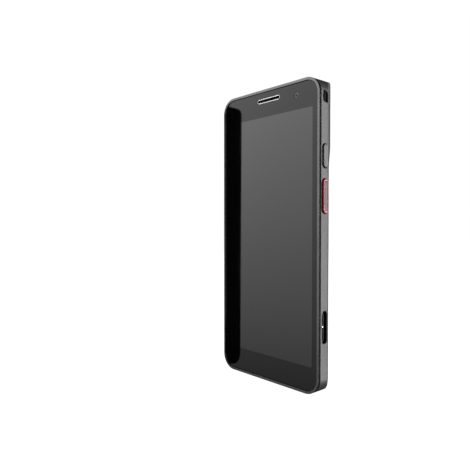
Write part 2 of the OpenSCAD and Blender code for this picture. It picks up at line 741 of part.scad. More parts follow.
module battery_case() color([0.17, 0.17, 0.18]) in_frame() difference() {
    union() {
        intersection() {
            grip_prism(pack_low, pack_high);
            slab_between(pack_w, 2, pack_low, pack_high, ledge_back + 0.2, grip_depth + 1);
        }
        slab_between(2 * tub_half, 1, pack_low + 1, tub_high, tub_front, ledge_back + 0.7);
        slab_between(2 * tub_half, 1, 90, 105, shelf_front, ledge_back + 0.7);
        for (sx = [-1, 1]) block(sx * tab_x - 4, sx * tab_x + 4, tab_front, tab_front + 1.3,
            bay_low - bulkhead + 0.2, pack_low + 3);
    }
    slab_between(57.8, 1, pack_low + 2.3, 84.5, tub_front + 0.6, 9.2);
    block(-8.7, 8.7, recess_floor, 12, recess_low, 110);
    block(-8.65, 8.65, recess_floor, slider_back + 0.1, 93.5, 97);
    block(-1.1, 1.1, spring_depth - 0.95, recess_floor + 0.6, spring_low - 0.15, 98.9);
    for (x = [12 : 3.2 : 22]) block(x + 0.9, x + 2.9, 4.6, 6.2, tub_high - 0.25, tub_high + 1);
}

module battery_cell() color([0.35, 0.37, 0.42]) in_frame()
    slab_between(57.2, 1, pack_low + 2.6, 78, tub_front + 0.7, 9.05);

module battery_guard_board() color([0.05, 0.28, 0.16]) in_frame()
    block(-27, 27, 5.4, 6.6, 79, 84);

module battery_pads() color([0.9, 0.75, 0.35]) in_frame()
    for (x = [12 : 3.2 : 22])
        block(x + 0.95, x + 2.85, 4.65, 6.15, tub_high - 0.23, tub_high + 0.05);

module latch_thumb() color([0.17, 0.17, 0.18]) in_frame() difference() {
    slab_between(16.8, 0.5, thumb_low, bay_high - 0.5, slider_back, grip_depth - 0.1);
    slab_between(13.4, 0.2, 101.8, 102.35, grip_depth - 0.6, 12, 0.4);
}

module latch_slider() color([0.72, 0.73, 0.74]) in_frame() {
    block(-8.4, 5, slider_front, slider_back - 0.01, slider_low, thumb_low + 1);
    block(-8.4, 8.4, slider_front, slider_back - 0.01, thumb_low, bay_high - 0.4);
    block(-8.4, -0.2, slider_front, slider_back + 0.6, bay_high - 0.41, slider_high);
    block(-0.9, 0.9, spring_depth - 0.7, slider_front + 0.1, 97, 98.4);
}

// The latch's coil spring, a round wire wound in a helix
module latch_spring() color([0.7, 0.7, 0.72]) in_frame() {
    steps = 12 * spring_turns;
    sides = 6;
    length = 96.9 - spring_low - 2 * wire_r;
    points = [for (i = [0 : steps], j = [0 : sides - 1]) let (
            a = 30 * i,
            b = 60 * j,
            r = spring_r + wire_r * cos(b))
        [r * cos(a), spring_depth + r * sin(a),
         spring_low + wire_r + length * i / steps + wire_r * sin(b)]];
    polyhedron(points = points, faces = concat(
        [[for (j = [0 : sides - 1]) j]],
        [[for (j = [sides - 1 : -1 : 0]) steps * sides + j]],
        [for (i = [0 : steps - 1], j = [0 : sides - 1])
            let (a = i * sides + j, b = i * sides + (j + 1) % sides)
            each [[a, a + sides, b + sides], [a, b + sides, b]]]), convexity = 10);
}

rear_housing();
front_bezel();
bezel_gasket();
cover_glass();
display_panel();
backlight();
mid_chassis();
chassis_screws();
housing_screws();
earpiece_grille();
earpiece_receiver();
front_camera();
main_board();
board_shields();
scan_engine();
scan_window();
scan_window_seal();
rear_camera();
camera_cover();
camera_lens_ring();
rear_lens();
flash_lens();
rear_label();
contactless_mark();
contactless_coil();
strap_clips();
accessory_contacts();
microphones();
latch_thumb();
latch_slider();
latch_spring();
battery_case();
battery_cell();
battery_guard_board();
battery_pads();
battery_connector();
card_socket();
port_board();
usb_shell();
usb_tongue();
dock_contacts();
loudspeaker();
speaker_mesh();
vibration_motor();
scan_button_right();
scan_pad_right();
scan_button_left();
scan_pad_left();
power_button();
volume_rocker();
side_switches();
side_flex();
side_port_inserts();
side_port_pins();
lanyard_pin();
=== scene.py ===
"""Looks of a rugged handheld data terminal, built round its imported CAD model."""

import math
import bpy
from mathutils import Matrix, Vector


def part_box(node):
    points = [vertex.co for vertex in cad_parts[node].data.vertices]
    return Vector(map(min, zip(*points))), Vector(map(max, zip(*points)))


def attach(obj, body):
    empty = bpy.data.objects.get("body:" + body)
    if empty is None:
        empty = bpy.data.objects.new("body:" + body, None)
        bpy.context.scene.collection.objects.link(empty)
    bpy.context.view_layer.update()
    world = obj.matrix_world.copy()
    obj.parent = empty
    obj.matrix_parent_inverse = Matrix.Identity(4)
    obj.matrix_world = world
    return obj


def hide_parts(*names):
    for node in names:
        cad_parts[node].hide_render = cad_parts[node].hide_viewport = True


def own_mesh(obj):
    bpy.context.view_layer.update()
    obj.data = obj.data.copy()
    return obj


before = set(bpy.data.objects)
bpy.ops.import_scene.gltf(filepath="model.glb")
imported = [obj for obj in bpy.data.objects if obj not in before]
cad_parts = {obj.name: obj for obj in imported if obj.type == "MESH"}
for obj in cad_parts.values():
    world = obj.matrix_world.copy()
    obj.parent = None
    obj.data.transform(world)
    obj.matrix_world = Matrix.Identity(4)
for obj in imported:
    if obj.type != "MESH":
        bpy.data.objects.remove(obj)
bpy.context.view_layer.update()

from types import SimpleNamespace

import bmesh
import bpy
import numpy as np
from mathutils import Vector

MM = 0.001

# ---- sizes, in millimetres: depth counts from the front of the cover glass towards the back ----

GLASS_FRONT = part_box("cover_glass")[0].y / MM
WIDTH = (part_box("front_bezel")[1].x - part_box("front_bezel")[0].x) / MM
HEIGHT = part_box("rear_housing")[1].z / MM
HALF = WIDTH / 2
CORNER_R = 8.6
GRIP_DEPTH = 10.5
HUMP_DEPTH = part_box("rear_housing")[1].y / MM - GLASS_FRONT
BAND_DEPTH = 6.1
HUMP_LOW = 108  # the back rises to the hump between these heights
HUMP_HIGH = 127
GRIP_FLAT = HALF - 8
HUMP_FLAT = GRIP_FLAT - 0.2
HUMP_EDGE_R = 5
END_R = 1.5
END_SHARE = 0.9  # how much of a full rounding the ends have
HOUSING_FRONT = 0.75
WALL = 2
RIM_W = 1.4
RIM_HEIGHT = 0.5
RIM_LIP = 0.3
RIM_EDGE_R = 0.1
WEB_W = 0.5
RABBET = 0.8
FLANGE_BACK = 1.3
CHASSIS_BACK = 3.9
LEDGE_BACK = 7.9
LEDGE_IN = 30.3  # half width of the bay between its ledges
SKIN_FRONT = 8.8
BAY = (20, 106.2)  # heights of the battery bay
BULKHEAD = 1.2
PACK = (BAY[0] + 0.2, BAY[1] - 0.2)
LABEL_HEAD = 150.2  # height where the label's white head starts
SIDE_CHANNEL = (88, 131)  # heights
KEY_PLAY = 0.15
RIM_SLANT = 0.45  # how far the lip's outer wall leans inwards
SPRING = (0.62, 0.18, 7, 86.1, 96.9, 7.8)  # radius, wire, turns, low and high end, depth
MOUTH_R = 0.3
STRAP_SLOTS = (122.3, 128.1)  # lower edges
STRAP_SLOT_H = 3.2
STRAP_W = 17.2
STRAP_FLOOR = 12.9
WINDOW = (105.2, 112.7)  # heights of the latch window
WINDOW_W = 17.2
WINDOW_FLOOR = 8.3
RECESS_FLOOR = 8.6
RECESS_LOW = 95.7
SPEAKER_SLOT = (15.8, 2.2)  # width, height
EYE = (2.6, 6, 146.9, 152.7)  # depths, then heights
SCAN = (3.95, 4.5, 17.4)  # a key's middle in depth, its thickness and its length
POWER = (4.05, 4.1, 12)
VOLUME = (3.9, 2, 14.6)
KEY_ROOM = 3.4  # how deep a key's hole reaches into the side
KEY_INNER = HALF - 2.6  # where a key's cap starts inside the side
SIDE_PORT = (4.05, 34.5)  # depth, height
END_SOCKETS = 5.55  # depth of the sockets in the bottom end
TAB_X = 14  # the pack's lower tabs
TAB_HALF = 4
TONGUE_X = -4.3  # the latch slider's tongue
CAMERA_R = 1.6
PICTURE = (-31.4, 31.4, 14, 145)  # left, right, bottom, top of the lit area
SCREWS = [(side * 32.2, z) for side in (-1, 1) for z in (22.6, 58, 84)]


def node_box(name):
    """A CAD node's box in millimetres, its depth counted from the front of the glass."""
    low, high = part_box(name)
    b = SimpleNamespace(
        x0=low.x / MM, x1=high.x / MM,
        y0=low.y / MM - GLASS_FRONT, y1=high.y / MM - GLASS_FRONT,
        z0=low.z / MM, z1=high.z / MM,
    )
    b.x, b.y, b.z = (b.x0 + b.x1) / 2, (b.y0 + b.y1) / 2, (b.z0 + b.z1) / 2
    b.w, b.d, b.h = b.x1 - b.x0, b.y1 - b.y0, b.z1 - b.z0
    b.spot = (b.x, b.z)
    return b


# ---- mesh helpers: points are (x, depth, z) in millimetres --------------------------------------


def place(points):
    """Device millimetres to the row frame in metres."""
    p = np.asarray(points, float).copy()
    p[:, 1] += GLASS_FRONT
    return p * MM


def linked(name, data):
    """A new object in the scene."""
    obj = bpy.data.objects.new(name, data)
    bpy.context.scene.collection.objects.link(obj)
    return obj


def solid(name, points, faces, material=None):
    """A new object from points and faces, its normals turned outwards."""
    mesh = bpy.data.meshes.new(name)
    mesh.from_pydata(place(points).tolist(), [], faces)
    bm = bmesh.new()
    bm.from_mesh(mesh)
    bmesh.ops.recalc_face_normals(bm, faces=bm.faces)
    bm.to_mesh(mesh)
    bm.free()
    if material:
        mesh.materials.append(material)
    return linked(name, mesh)


def rings(name, loops, material=None, closed=False):
    """A tube of loops with the same number of points, capped unless it closes on itself."""
    n, count = len(loops[0]), len(loops)
    faces = []
    for i in range(count if closed else count - 1):
        a, b = i * n, (i + 1) % count * n
        faces += [(a + j, a + (j + 1) % n, b + (j + 1) % n, b + j) for j in range(n)]
    if not closed:
        faces += [tuple(range(n - 1, -1, -1)), tuple(range((count - 1) * n, count * n))]
    return solid(name, [p for loop in loops for p in loop], faces, material)


def eased(r, steps):
    """Distances from an end at which a rounding of radius r has its steps."""
    return [r * (1 - math.cos(math.pi / 2 * k / steps)) for k in range(steps + 1)]


def circle(r, steps):
    """Outline of a circle about the origin."""
    return [(r * math.cos(math.tau * k / steps), r * math.sin(math.tau * k / steps)) for k in range(steps)]


def round_rect(w, h, r, steps=8):
    """Outline of a rectangle with round corners, about the origin, in order."""
    r = max(min(r, w / 2 - 1e-4, h / 2 - 1e-4), 1e-3)
    out = []
    for quarter, (sx, sy) in enumerate(((1, 1), (-1, 1), (-1, -1), (1, -1))):
        for k in range(steps + 1):
            a = math.pi / 2 * (quarter + k / steps)
            out.append((sx * (w / 2 - r) + r * math.cos(a), sy * (h / 2 - r) + r * math.sin(a)))
    return out


FACINGS = {
    "back": lambda u, v, d: (u, d, v),  # depth runs along the device's depth
    "side": lambda u, v, d: (d, u, v),  # depth runs along the width, u is the device's depth
    "end": lambda u, v, d: (u, v, d),  # depth runs along the height
}


def rounded(low, high, r_low=0.0, r_high=0.0, steps=5):
    """(place, inset) pairs of a slab from low to high whose two edges are rounded."""
    way = 1 if high > low else -1
    turn = [math.pi / 2 * k / steps for k in range(steps + 1)]
    out = [(low, 0.0)]
    if r_low:
        out = [(low + way * r_low * (1 - math.cos(a)), r_low * (1 - math.sin(a))) for a in turn]
    if r_high:
        out += [(high - way * r_high * (1 - math.sin(a)), r_high * (1 - math.cos(a))) for a in turn]
    else:
        out.append((high, 0.0))
    return out


def mouth(floor, face, r=MOUTH_R, past=1.0, steps=4):
    """(place, inset) pairs of a cutter whose mouth at a face flares by r, rounding the edge."""
    flare = [(where, -inset) for where, inset in rounded(floor, face, 0, r, steps)]
    return flare + [(face + past if face > floor else face - past, -r)]


def slab(name, facing, w, h, r, centre, profile, material=None, steps=8):
    """A rounded slab: profile lists where along its thickness it is inset by how much."""
    turn = FACINGS[facing]
    loops = []
    for where, inset in profile:
        outline = round_rect(w - 2 * inset, h - 2 * inset, r - inset, steps)
        loops.append([turn(centre[0] + u, centre[1] + v, where) for u, v in outline])
    return rings(name, loops, material)


def disc(name, facing, r, centre, profile, material=None, steps=48):
    """A round slab, its profile as in slab()."""
    turn = FACINGS[facing]
    return rings(name, [[turn(centre[0] + u, centre[1] + v, where) for u, v in circle(r - inset, steps)]
                        for where, inset in profile], material)


def box(name, x, y, z, material=None):
    """A plain block between (low, high) pairs, used for cutting."""
    points = [(a, b, c) for a in x for b in y for c in z]
    faces = [(0, 1, 3, 2), (4, 6, 7, 5), (0, 4, 5, 1), (2, 3, 7, 6), (0, 2, 6, 4), (1, 5, 7, 3)]
    return solid(name, points, faces, material)


def combine(obj, others, operation="DIFFERENCE"):
    """Boolean of obj with each of others, which are used up."""
    for other in others:
        modifier = obj.modifiers.new("combine", "BOOLEAN")
        modifier.operation = operation
        modifier.solver = "MANIFOLD"
        modifier.object = other
    graph = bpy.context.evaluated_depsgraph_get()
    mesh = bpy.data.meshes.new_from_object(obj.evaluated_get(graph))
    obj.modifiers.clear()
    old = obj.data
    obj.data = mesh
    bpy.data.meshes.remove(old)
    for other in others:
        data = other.data
        bpy.data.objects.remove(other)
        bpy.data.meshes.remove(data)
    return obj


def tidy(obj, angle=32, weld=0.004):
    """Merges doubled points, then smooths the shading except across sharp edges."""
    bm = bmesh.new()
    bm.from_mesh(obj.data)
    bmesh.ops.remove_doubles(bm, verts=bm.verts, dist=weld * MM)
    bmesh.ops.dissolve_degenerate(bm, edges=bm.edges, dist=weld * MM)
    bm.to_mesh(obj.data)
    bm.free()
    return shade(obj, angle)


def shade(obj, angle=32):
    obj.data.shade_smooth()
    obj.data.set_sharp_from_angle(angle=math.radians(angle))
    modifier = obj.modifiers.new("weighted normals", "WEIGHTED_NORMAL")
    modifier.keep_sharp = True
    modifier.weight = 80
    return obj


def stands_for(obj, body, slot, *nodes):
    """obj rides on a body and stands for CAD nodes, which it hides. The slot argument is not used."""
    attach(obj, body)
    if nodes:
        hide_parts(*nodes)
    return obj


def finished(obj, body, slot, *nodes):
    """Tidies a piece, then attaches it and hides its CAD nodes with stands_for()."""
    return stands_for(tidy(obj), body, slot, *nodes)
# ---- materials ------------------------------------------------------------------------------------


def fit(tree, node, sockets):
    """Sets each named socket of a node to a value, or feeds it from another node's output."""
    for name, value in sockets.items():
        if isinstance(value, bpy.types.NodeSocket):
            tree.links.new(value, node.inputs[name])
        else:
            node.inputs[name].default_value = value
    return node


def add(tree, kind, sockets):
    return fit(tree, tree.nodes.new("ShaderNode" + kind), sockets)


def scaled(colour, factor, plus=0.0):
    """A colour made darker or paler."""
    return tuple(min(1, c * factor + plus) for c in colour)


def new_material(name, colour, roughness, metallic=0.0, specular=0.5):
    """A material with a Principled shader: returns it, its node tree and the shader."""
    material = bpy.data.materials.new(name)
    material.use_nodes = True
    tree = material.node_tree
    shader = fit(tree, tree.nodes["Principled BSDF"],
                 {"Base Color": (*colour, 1), "Roughness": roughness, "Metallic": metallic,
                  "Specular IOR Level": specular})
    return material, tree, shader


def own_place(tree):
    """The piece's own coordinates."""
    return add(tree, "TexCoord", {}).outputs["Object"]


def noise(tree, scale, detail=4.0, roughness=0.6, stretch=(1, 1, 1)):
    """A noise texture on the piece's own coordinates, scale in cells a metre."""
    mapping = add(tree, "Mapping", {"Vector": own_place(tree), "Scale": stretch})
    return add(tree, "TexNoise", {"Vector": mapping.outputs["Vector"], "Scale": scale,
                                  "Detail": detail, "Roughness": roughness}).outputs["Fac"]


def bricks(tree, width, row, gap, *colours):
    """A brick grid on the back plane: two colours of brick, then the gaps' colour."""
    turn = add(tree, "Mapping", {"Vector": own_place(tree), "Rotation": (math.radians(90), 0, 0)})
    sockets = {"Vector": turn.outputs["Vector"], "Scale": 1, "Brick Width": width,
               "Row Height": row, "Mortar Size": gap}
    sockets.update(zip(("Color1", "Color2", "Mortar"), [(*colour, 1) for colour in colours]))
    return add(tree, "TexBrick", sockets)


def blend_colours(tree, factor, low, high, start=0.3, end=0.7):
    """A colour ramp from low to high."""
    node = add(tree, "ValToRGB", {"Fac": factor})
    for element, position, colour in zip(node.color_ramp.elements, (start, end), (low, high)):
        element.position = position
        element.color = (*colour, 1)
    return node.outputs["Color"]


def spread(tree, factor, low, high):
    """Maps the middle of a noise factor to low to high."""
    return add(tree, "MapRange", {"Value": factor, "From Min": 0.3, "From Max": 0.7,
                                  "To Min": low, "To Max": high}).outputs["Result"]


def bump(tree, shader, height, distance):
    node = add(tree, "Bump", {"Height": height, "Distance": distance, "Strength": 1.0})
    fit(tree, shader, {"Normal": node.outputs["Normal"]})


def paler_convex_edges(tree, colour, edge_colour, amount=0.35):
    """Mixes a paler colour into colour along convex edges, found by their pointiness."""
    convex = add(tree, "NewGeometry", {}).outputs["Pointiness"]
    edge = add(tree, "MapRange", {"Value": convex, "From Min": 0.52, "From Max": 0.62,
                                  "To Max": amount})
    mix = tree.nodes.new("ShaderNodeMix")
    mix.data_type = "RGBA"
    fit(tree, mix, {"Factor": edge.outputs["Result"], "A": colour, "B": (*edge_colour, 1)})
    return mix.outputs["Result"]


def plastic(name, colour, roughness, grain=0.00001, vary=0.05):
    """Moulded plastic: faint cloudy colour, uneven sheen and a fine spark-eroded grain."""
    material, tree, shader = new_material(name, colour, roughness)
    tint = blend_colours(tree, noise(tree, 55, 3), scaled(colour, 1 - vary), scaled(colour, 1 + vary))
    # The colour is paler along convex edges.
    fit(tree, shader, {"Base Color": paler_convex_edges(tree, tint, scaled(colour, 1.9, 0.01)),
                       "Roughness": spread(tree, noise(tree, 160, 5), roughness - 0.015, roughness + 0.02)})
    bump(tree, shader, noise(tree, 9000, 2), grain)
    return material


def metal(name, colour, roughness, brushed=(1, 1, 12), scale=2600, share=1.0):
    """Metal with fine brushing along one way and slightly uneven polish."""
    material, tree, shader = new_material(name, colour, roughness, metallic=share)
    lines = noise(tree, scale, 3, stretch=brushed)
    tint = blend_colours(tree, noise(tree, 400, 3), scaled(colour, 0.88), colour)
    fit(tree, shader, {"Base Color": tint,
                       "Roughness": spread(tree, lines, roughness * 0.75, roughness * 1.35)})
    bump(tree, shader, lines, 0.000004)
    return material


def satin_paint(name, colour, roughness):
    """Metallic paint on a moulding: faint clouds, a fine flake and uneven sheen."""
    material, tree, shader = new_material(name, colour, roughness, metallic=0.9)
    tint = blend_colours(tree, noise(tree, 70, 3), scaled(colour, 0.94), scaled(colour, 1.06))
    # The colour is paler along convex edges.
    fit(tree, shader, {"Base Color": paler_convex_edges(tree, tint, scaled(colour, 1.4), 0.2),
                       "Roughness": spread(tree, noise(tree, 180, 5), roughness - 0.03, roughness + 0.05)})
    bump(tree, shader, noise(tree, 8000, 2), 0.000001)
    return material


def rubber(name, colour):
    """Dull rubber with a fine speckle."""
    material, tree, shader = new_material(name, colour, 0.75, specular=0.35)
    tint = blend_colours(tree, noise(tree, 900, 4), scaled(colour, 0.8), scaled(colour, 1.25))
    fit(tree, shader, {"Base Color": tint})
    bump(tree, shader, noise(tree, 7000, 3), 0.00001)
    return material


def gloss(name, colour, roughness=0.12, coat=0.6, vary=0.15):
    """Polished plastic under a clear coat, with faint swirls of wiping in its gloss."""
    material, tree, shader = new_material(name, colour, roughness)
    wipe = noise(tree, 300, 6, stretch=(1, 1, 4))
    fit(tree, shader, {"Coat Weight": coat, "Coat Roughness": 0.06,
                       "Base Color": blend_colours(tree, noise(tree, 220, 4), scaled(colour, 1 - vary),
                                                   scaled(colour, 1 + vary)),
                       "Roughness": spread(tree, wipe, roughness * 0.8, roughness * 1.3)})
    bump(tree, shader, noise(tree, 2600, 3), 0.000003)
    return material


def glass_finish(tree, shader):
    """Polished cover glass: wiped streaks that hardly dull it, and a trace of waviness."""
    wipe = noise(tree, 42, 5, stretch=(1, 1, 0.5))
    fit(tree, shader, {"Roughness": spread(tree, wipe, 0.012, 0.03)})
    bump(tree, shader, noise(tree, 60, 2), 0.0000006)


def cover_glass_border():
    """The printed border behind the glass: black ink with faint mottling."""
    material, tree, shader = new_material("cover glass border", (0.004, 0.004, 0.0045), 0.02)
    tint = blend_colours(tree, noise(tree, 900, 3), (0.003, 0.003, 0.0035), (0.006, 0.006, 0.0065), 0.35)
    fit(tree, shader, {"Base Color": tint})
    glass_finish(tree, shader)
    return material


def cover_glass_screen():
    """The switched-off picture behind the glass: nearly black, with the fine grid of its pixels.
    Its own layers reflect too, so it shines more than the border."""
    material, tree, shader = new_material("cover glass screen", (0.006, 0.006, 0.007), 0.02)
    grid = bricks(tree, 0.00022, 0.00022, 0.00002,
                  (0.0075, 0.0075, 0.008), (0.006, 0.0065, 0.007), (0.003, 0.003, 0.0033))
    grid.offset = 0
    fit(tree, shader, {"IOR": 1.76, "Base Color": grid.outputs["Color"]})
    glass_finish(tree, shader)
    return material


def clear(name, colour, roughness=0.03):
    """Tinted glass or a clear moulding, with a trace of dust in its gloss."""
    material, tree, shader = new_material(name, colour, roughness)
    dust = spread(tree, noise(tree, 500, 4), roughness, roughness + 0.05)
    fit(tree, shader, {"Transmission Weight": 0.85, "IOR": 1.5, "Roughness": dust})
    bump(tree, shader, noise(tree, 1500, 2), 0.000002)
    return material


def label_paper(name, low, high):
    """Blank label paper with its fibre showing in colour, sheen and relief."""
    material, tree, shader = new_material(name, high, 0.42)
    fibre = noise(tree, 900, 6, 0.7)
    fit(tree, shader, {"Base Color": blend_colours(tree, fibre, low, high),
                       "Roughness": spread(tree, fibre, 0.36, 0.5)})
    bump(tree, shader, fibre, 0.000008)
    return material


def board_green():
    """Solder mask over copper tracks: two greens on a fine grid, glossy."""
    material, tree, shader = new_material("circuit board", (0.02, 0.11, 0.06), 0.3)
    grid = bricks(tree, 0.0042, 0.0013, 0.00014, (0.02, 0.11, 0.06), (0.016, 0.09, 0.05), (0.05, 0.2, 0.11))
    fit(tree, shader, {"Base Color": grid.outputs["Color"],
                       "Roughness": spread(tree, noise(tree, 700, 4), 0.25, 0.38)})
    bump(tree, shader, grid.outputs["Fac"], 0.00003)
    return material


def perforated(name, colour):
    """Fine woven mesh of a loudspeaker."""
    material, tree, shader = new_material(name, colour, 0.4, metallic=1.0)
    weave = add(tree, "TexVoronoi", {"Vector": own_place(tree), "Scale": 3200, "Randomness": 0.05})
    cells = weave.outputs["Distance"]
    fit(tree, shader, {"Base Color": blend_colours(tree, cells, scaled(colour, 0.12), colour, 0.15, 0.45),
                       "Roughness": spread(tree, cells, 0.6, 0.35)})
    bump(tree, shader, cells, 0.00005)
    return material


HOUSING = plastic("housing plastic", (0.052, 0.052, 0.054), 0.42)
BEZEL = satin_paint("bezel paint", (0.16, 0.16, 0.162), 0.11)
KEYS = plastic("key plastic", (0.055, 0.055, 0.057), 0.36, grain=0.000006)
SCAN_RED = gloss("scan button red", (0.48, 0.03, 0.05), 0.22, coat=0.5)
SCAN_PAD = gloss("scan button inlay", (0.055, 0.018, 0.022), 0.36, coat=0.0)
GLASS_BORDER = cover_glass_border()
GLASS_SCREEN = cover_glass_screen()
SEAL = rubber("seal rubber", (0.004, 0.004, 0.004))
STEEL = metal("steel", (0.62, 0.63, 0.65), 0.28)
CHASSIS = metal("chassis metal", (0.34, 0.345, 0.36), 0.5, brushed=(1, 1, 1), scale=900)
COPPER = metal("copper", (0.72, 0.38, 0.2), 0.3)
GOLD = metal("gold plating", (0.9, 0.7, 0.33), 0.22)
NICKEL = metal("bright nickel", (0.92, 0.92, 0.9), 0.22, share=0.7)
MODULE = plastic("module black", (0.022, 0.022, 0.024), 0.5)
# Near-black painted shade: on the walls of the side holes, and on the earpiece grille plate.
SHADOW_BLACK = plastic("painted shade black", (0.004, 0.004, 0.0045), 0.75)
PORT_BLACK = plastic("port black", (0.004, 0.004, 0.0045), 0.6)
COVER = plastic("camera cover black", (0.042, 0.042, 0.044), 0.46, grain=0.000004)
SLIDER = plastic("slider grey", (0.6, 0.6, 0.61), 0.4, vary=0.04)
PALE = plastic("part beige", (0.62, 0.58, 0.46), 0.5)
WHITE = plastic("backlight white", (0.78, 0.8, 0.82), 0.5, vary=0.04)
FOIL = metal("cell foil", (0.4, 0.42, 0.46), 0.4, brushed=(1, 1, 1), scale=300)
INK = plastic("mark ink", (0.32, 0.32, 0.325), 0.5, vary=0.1)
# Steel darkened to near-black: painted shade, for the pin in the dark opening of the lanyard eye.
PIN_SHADE_STEEL = metal("steel with painted shade", (0.03, 0.03, 0.032), 0.5)
RING = metal("earpiece ring", (0.85, 0.85, 0.86), 0.2, brushed=(1, 1, 1), scale=1200, share=0.9)
FLASH = gloss("flash diffuser", (0.88, 0.88, 0.85), 0.3, coat=0.8, vary=0.03)
BOARD = board_green()
MESH = perforated("acoustic mesh", (0.36, 0.37, 0.39))
RED_GLASS = clear("scan window glass", (0.16, 0.01, 0.02))
CAMERA_BEZEL = plastic("camera bezel", (0.36, 0.36, 0.364), 0.35)
LENS_DARK = gloss("lens glass", (0.012, 0.014, 0.022), 0.05, coat=1.0)
# Painted reflection: the lens glass is coloured mid grey for the light it reflects.
LENS_PAINTED_REFLECTION = gloss("lens glass with painted reflection", (0.30, 0.31, 0.33), 0.2, coat=1.0)
SCREEN_PANEL = gloss("display panel", (0.05, 0.05, 0.055), 0.25, coat=0.3)
TIN = metal("tinned can", (0.62, 0.62, 0.6), 0.36, brushed=(1, 1, 6), scale=1800)
LABEL_WHITE = label_paper("label head", (0.70, 0.70, 0.69), (0.88, 0.88, 0.87))
LABEL_YELLOW = label_paper("label body", (0.78, 0.76, 0.38), (0.92, 0.90, 0.54))


# ---- the outer skin ---------------------------------------------------------------------------------


def ease(t):
    t = min(max(t, 0.0), 1.0)
    return t * t * (3 - 2 * t)


def end_cut(distance, r=END_R):
    """Depth that the round ends take off, at a distance from the outline."""
    if distance >= r:
        return 0.0
    return END_SHARE * (r - math.sqrt(max(0.0, r * r - (r - distance) ** 2)))


def outline_distance(x, z):
    """How far a point lies inside the outline's ends and corners."""
    end = min(z, HEIGHT - z)
    dx, dz = abs(x) - (HALF - CORNER_R), CORNER_R - end
    if dx <= 0 or dz <= 0:
        return end
    return CORNER_R - math.hypot(dx, dz)


def flank(t, swell):
    """Point of the flank at t from the side band (0) to the flat back (1): (half width, depth)."""
    a = math.pi / 2 * t
    grip = (GRIP_FLAT + (HALF - GRIP_FLAT) * math.cos(a),
            BAND_DEPTH + (GRIP_DEPTH - BAND_DEPTH) * math.sin(a))
    slope_end = (HUMP_FLAT + HUMP_EDGE_R, HUMP_DEPTH - HUMP_EDGE_R)
    if t < 0.25:
        k = t / 0.25
        hump = (HALF + (slope_end[0] - HALF) * k, BAND_DEPTH + (slope_end[1] - BAND_DEPTH) * k)
    else:
        b = math.pi / 2 * (t - 0.25) / 0.75
        hump = (HUMP_FLAT + HUMP_EDGE_R * math.cos(b), slope_end[1] + HUMP_EDGE_R * math.sin(b))
    return tuple(g * (1 - swell) + h * swell for g, h in zip(grip, hump))


def hump_share(z):
    """How far the back has risen from the grip to the hump at a height, 0 to 1."""
    return ease((z - HUMP_LOW) / (HUMP_HIGH - HUMP_LOW))


def hump_face(z):
    """Depth of the flat back at a height."""
    swell = hump_share(z)
    return GRIP_DEPTH * (1 - swell) + HUMP_DEPTH * swell


def skin_section(z, flank_steps=24, back_steps=20):
    """The housing's outline at a height, seen from above, before its corners are cut."""
    swell, full = hump_share(z), hump_face(z)
    half = [(HALF, HOUSING_FRONT - 0.3)]
    half += [flank(k / flank_steps, swell) for k in range(flank_steps + 1)]
    flat = half[-1][0]
    back = [(flat * (1 - 2 * k / back_steps), full) for k in range(1, back_steps)]
    points = half + back + [(-x, y) for x, y in reversed(half)]
    out = []
    for x, y in points:
        if y > BAND_DEPTH:
            cut = end_cut(min(z, HEIGHT - z))
            cut = max(cut, end_cut(outline_distance(x, z)) * corner_fade(z))
            y = BAND_DEPTH + (y - BAND_DEPTH) * (1 - cut / (full - BAND_DEPTH))
        out.append((x, y, z))
    return out


def corner_fade(z):
    """The corners' own rounding comes in over their own height only."""
    end = min(z, HEIGHT - z)
    return 1 - ease((end - CORNER_R * 0.75) / (CORNER_R * 0.25))


def skin_heights():
    """Heights of the skin's sections: close together at the ends and where the hump rises."""
    low = eased(END_R, 10) + [END_R + 0.5 * k for k in range(1, 15)]
    rise = list(np.linspace(HUMP_LOW - 1, HUMP_HIGH + 1, 50))
    return low + [20, 40, 60, 80, 100] + rise + [132, 138, 144] + [HEIGHT - z for z in reversed(low)]


def outline_cutter(name, inset, y0, y1, edge=0.0):
    """The front outline, in by inset, from depth y0 to y1, its front edge eased by edge."""
    return slab(name, "back", WIDTH - 2 * inset, HEIGHT - 2 * inset, CORNER_R - inset,
                (0, HEIGHT / 2), rounded(y0, y1, edge), steps=24)


def between(name, w, r, z0, z1, y0, y1, x=0):
    """A pocket in the depth direction, given by its bottom and top heights."""
    return slab(name, "back", w, z1 - z0, r, (x, (z0 + z1) / 2), [(y0, 0), (y1, 0)], steps=10)


# ---- rear housing ---------------------------------------------------------------------------------


def side_mouth(name, side, w, h, depth, z, inner, r=MOUTH_R):
    """Cutter of a long round-ended hole through a side wall, its outer edge eased."""
    return slab(name, "side", w, h, min(w, h) / 2, (depth, z),
                mouth(side * inner, side * HALF, r), steps=10)


def key_hole(side, size, z, r=MOUTH_R):
    """Cutter of the hole that a key of (depth, thickness, length) plays in."""
    depth, thickness, length = size
    return side_mouth("key_hole", side, thickness + 2 * KEY_PLAY, length + 2 * KEY_PLAY, depth, z,
                      HALF - KEY_ROOM, r)


def back_mouth(name, w, z0, z1, floor, face=None, x=0, corner=0.6, r=MOUTH_R):
    """Cutter of a pocket in the back, its outer edge eased."""
    return slab(name, "back", w, z1 - z0, corner, (x, (z0 + z1) / 2),
                mouth(floor, HUMP_DEPTH if face is None else face, r), steps=6)


def eye_outline():
    """Outline of the lanyard eye on the side band: (depth, height) points in order."""
    d0, d1, z0, z1 = EYE
    return [(d0, z0 + 0.8), (d0 + 0.4, z0 + 0.4), (d1 - 0.9, z0), (d1 - 0.3, z0 + 0.1),
            (d1, z0 + 0.5), (d1, z1 - 1.5), (d1 - 0.8, z1 - 0.6), (d0 + 1.5, z1),
            (d0 + 0.7, z1 - 0.1), (d0, z1 - 1)]


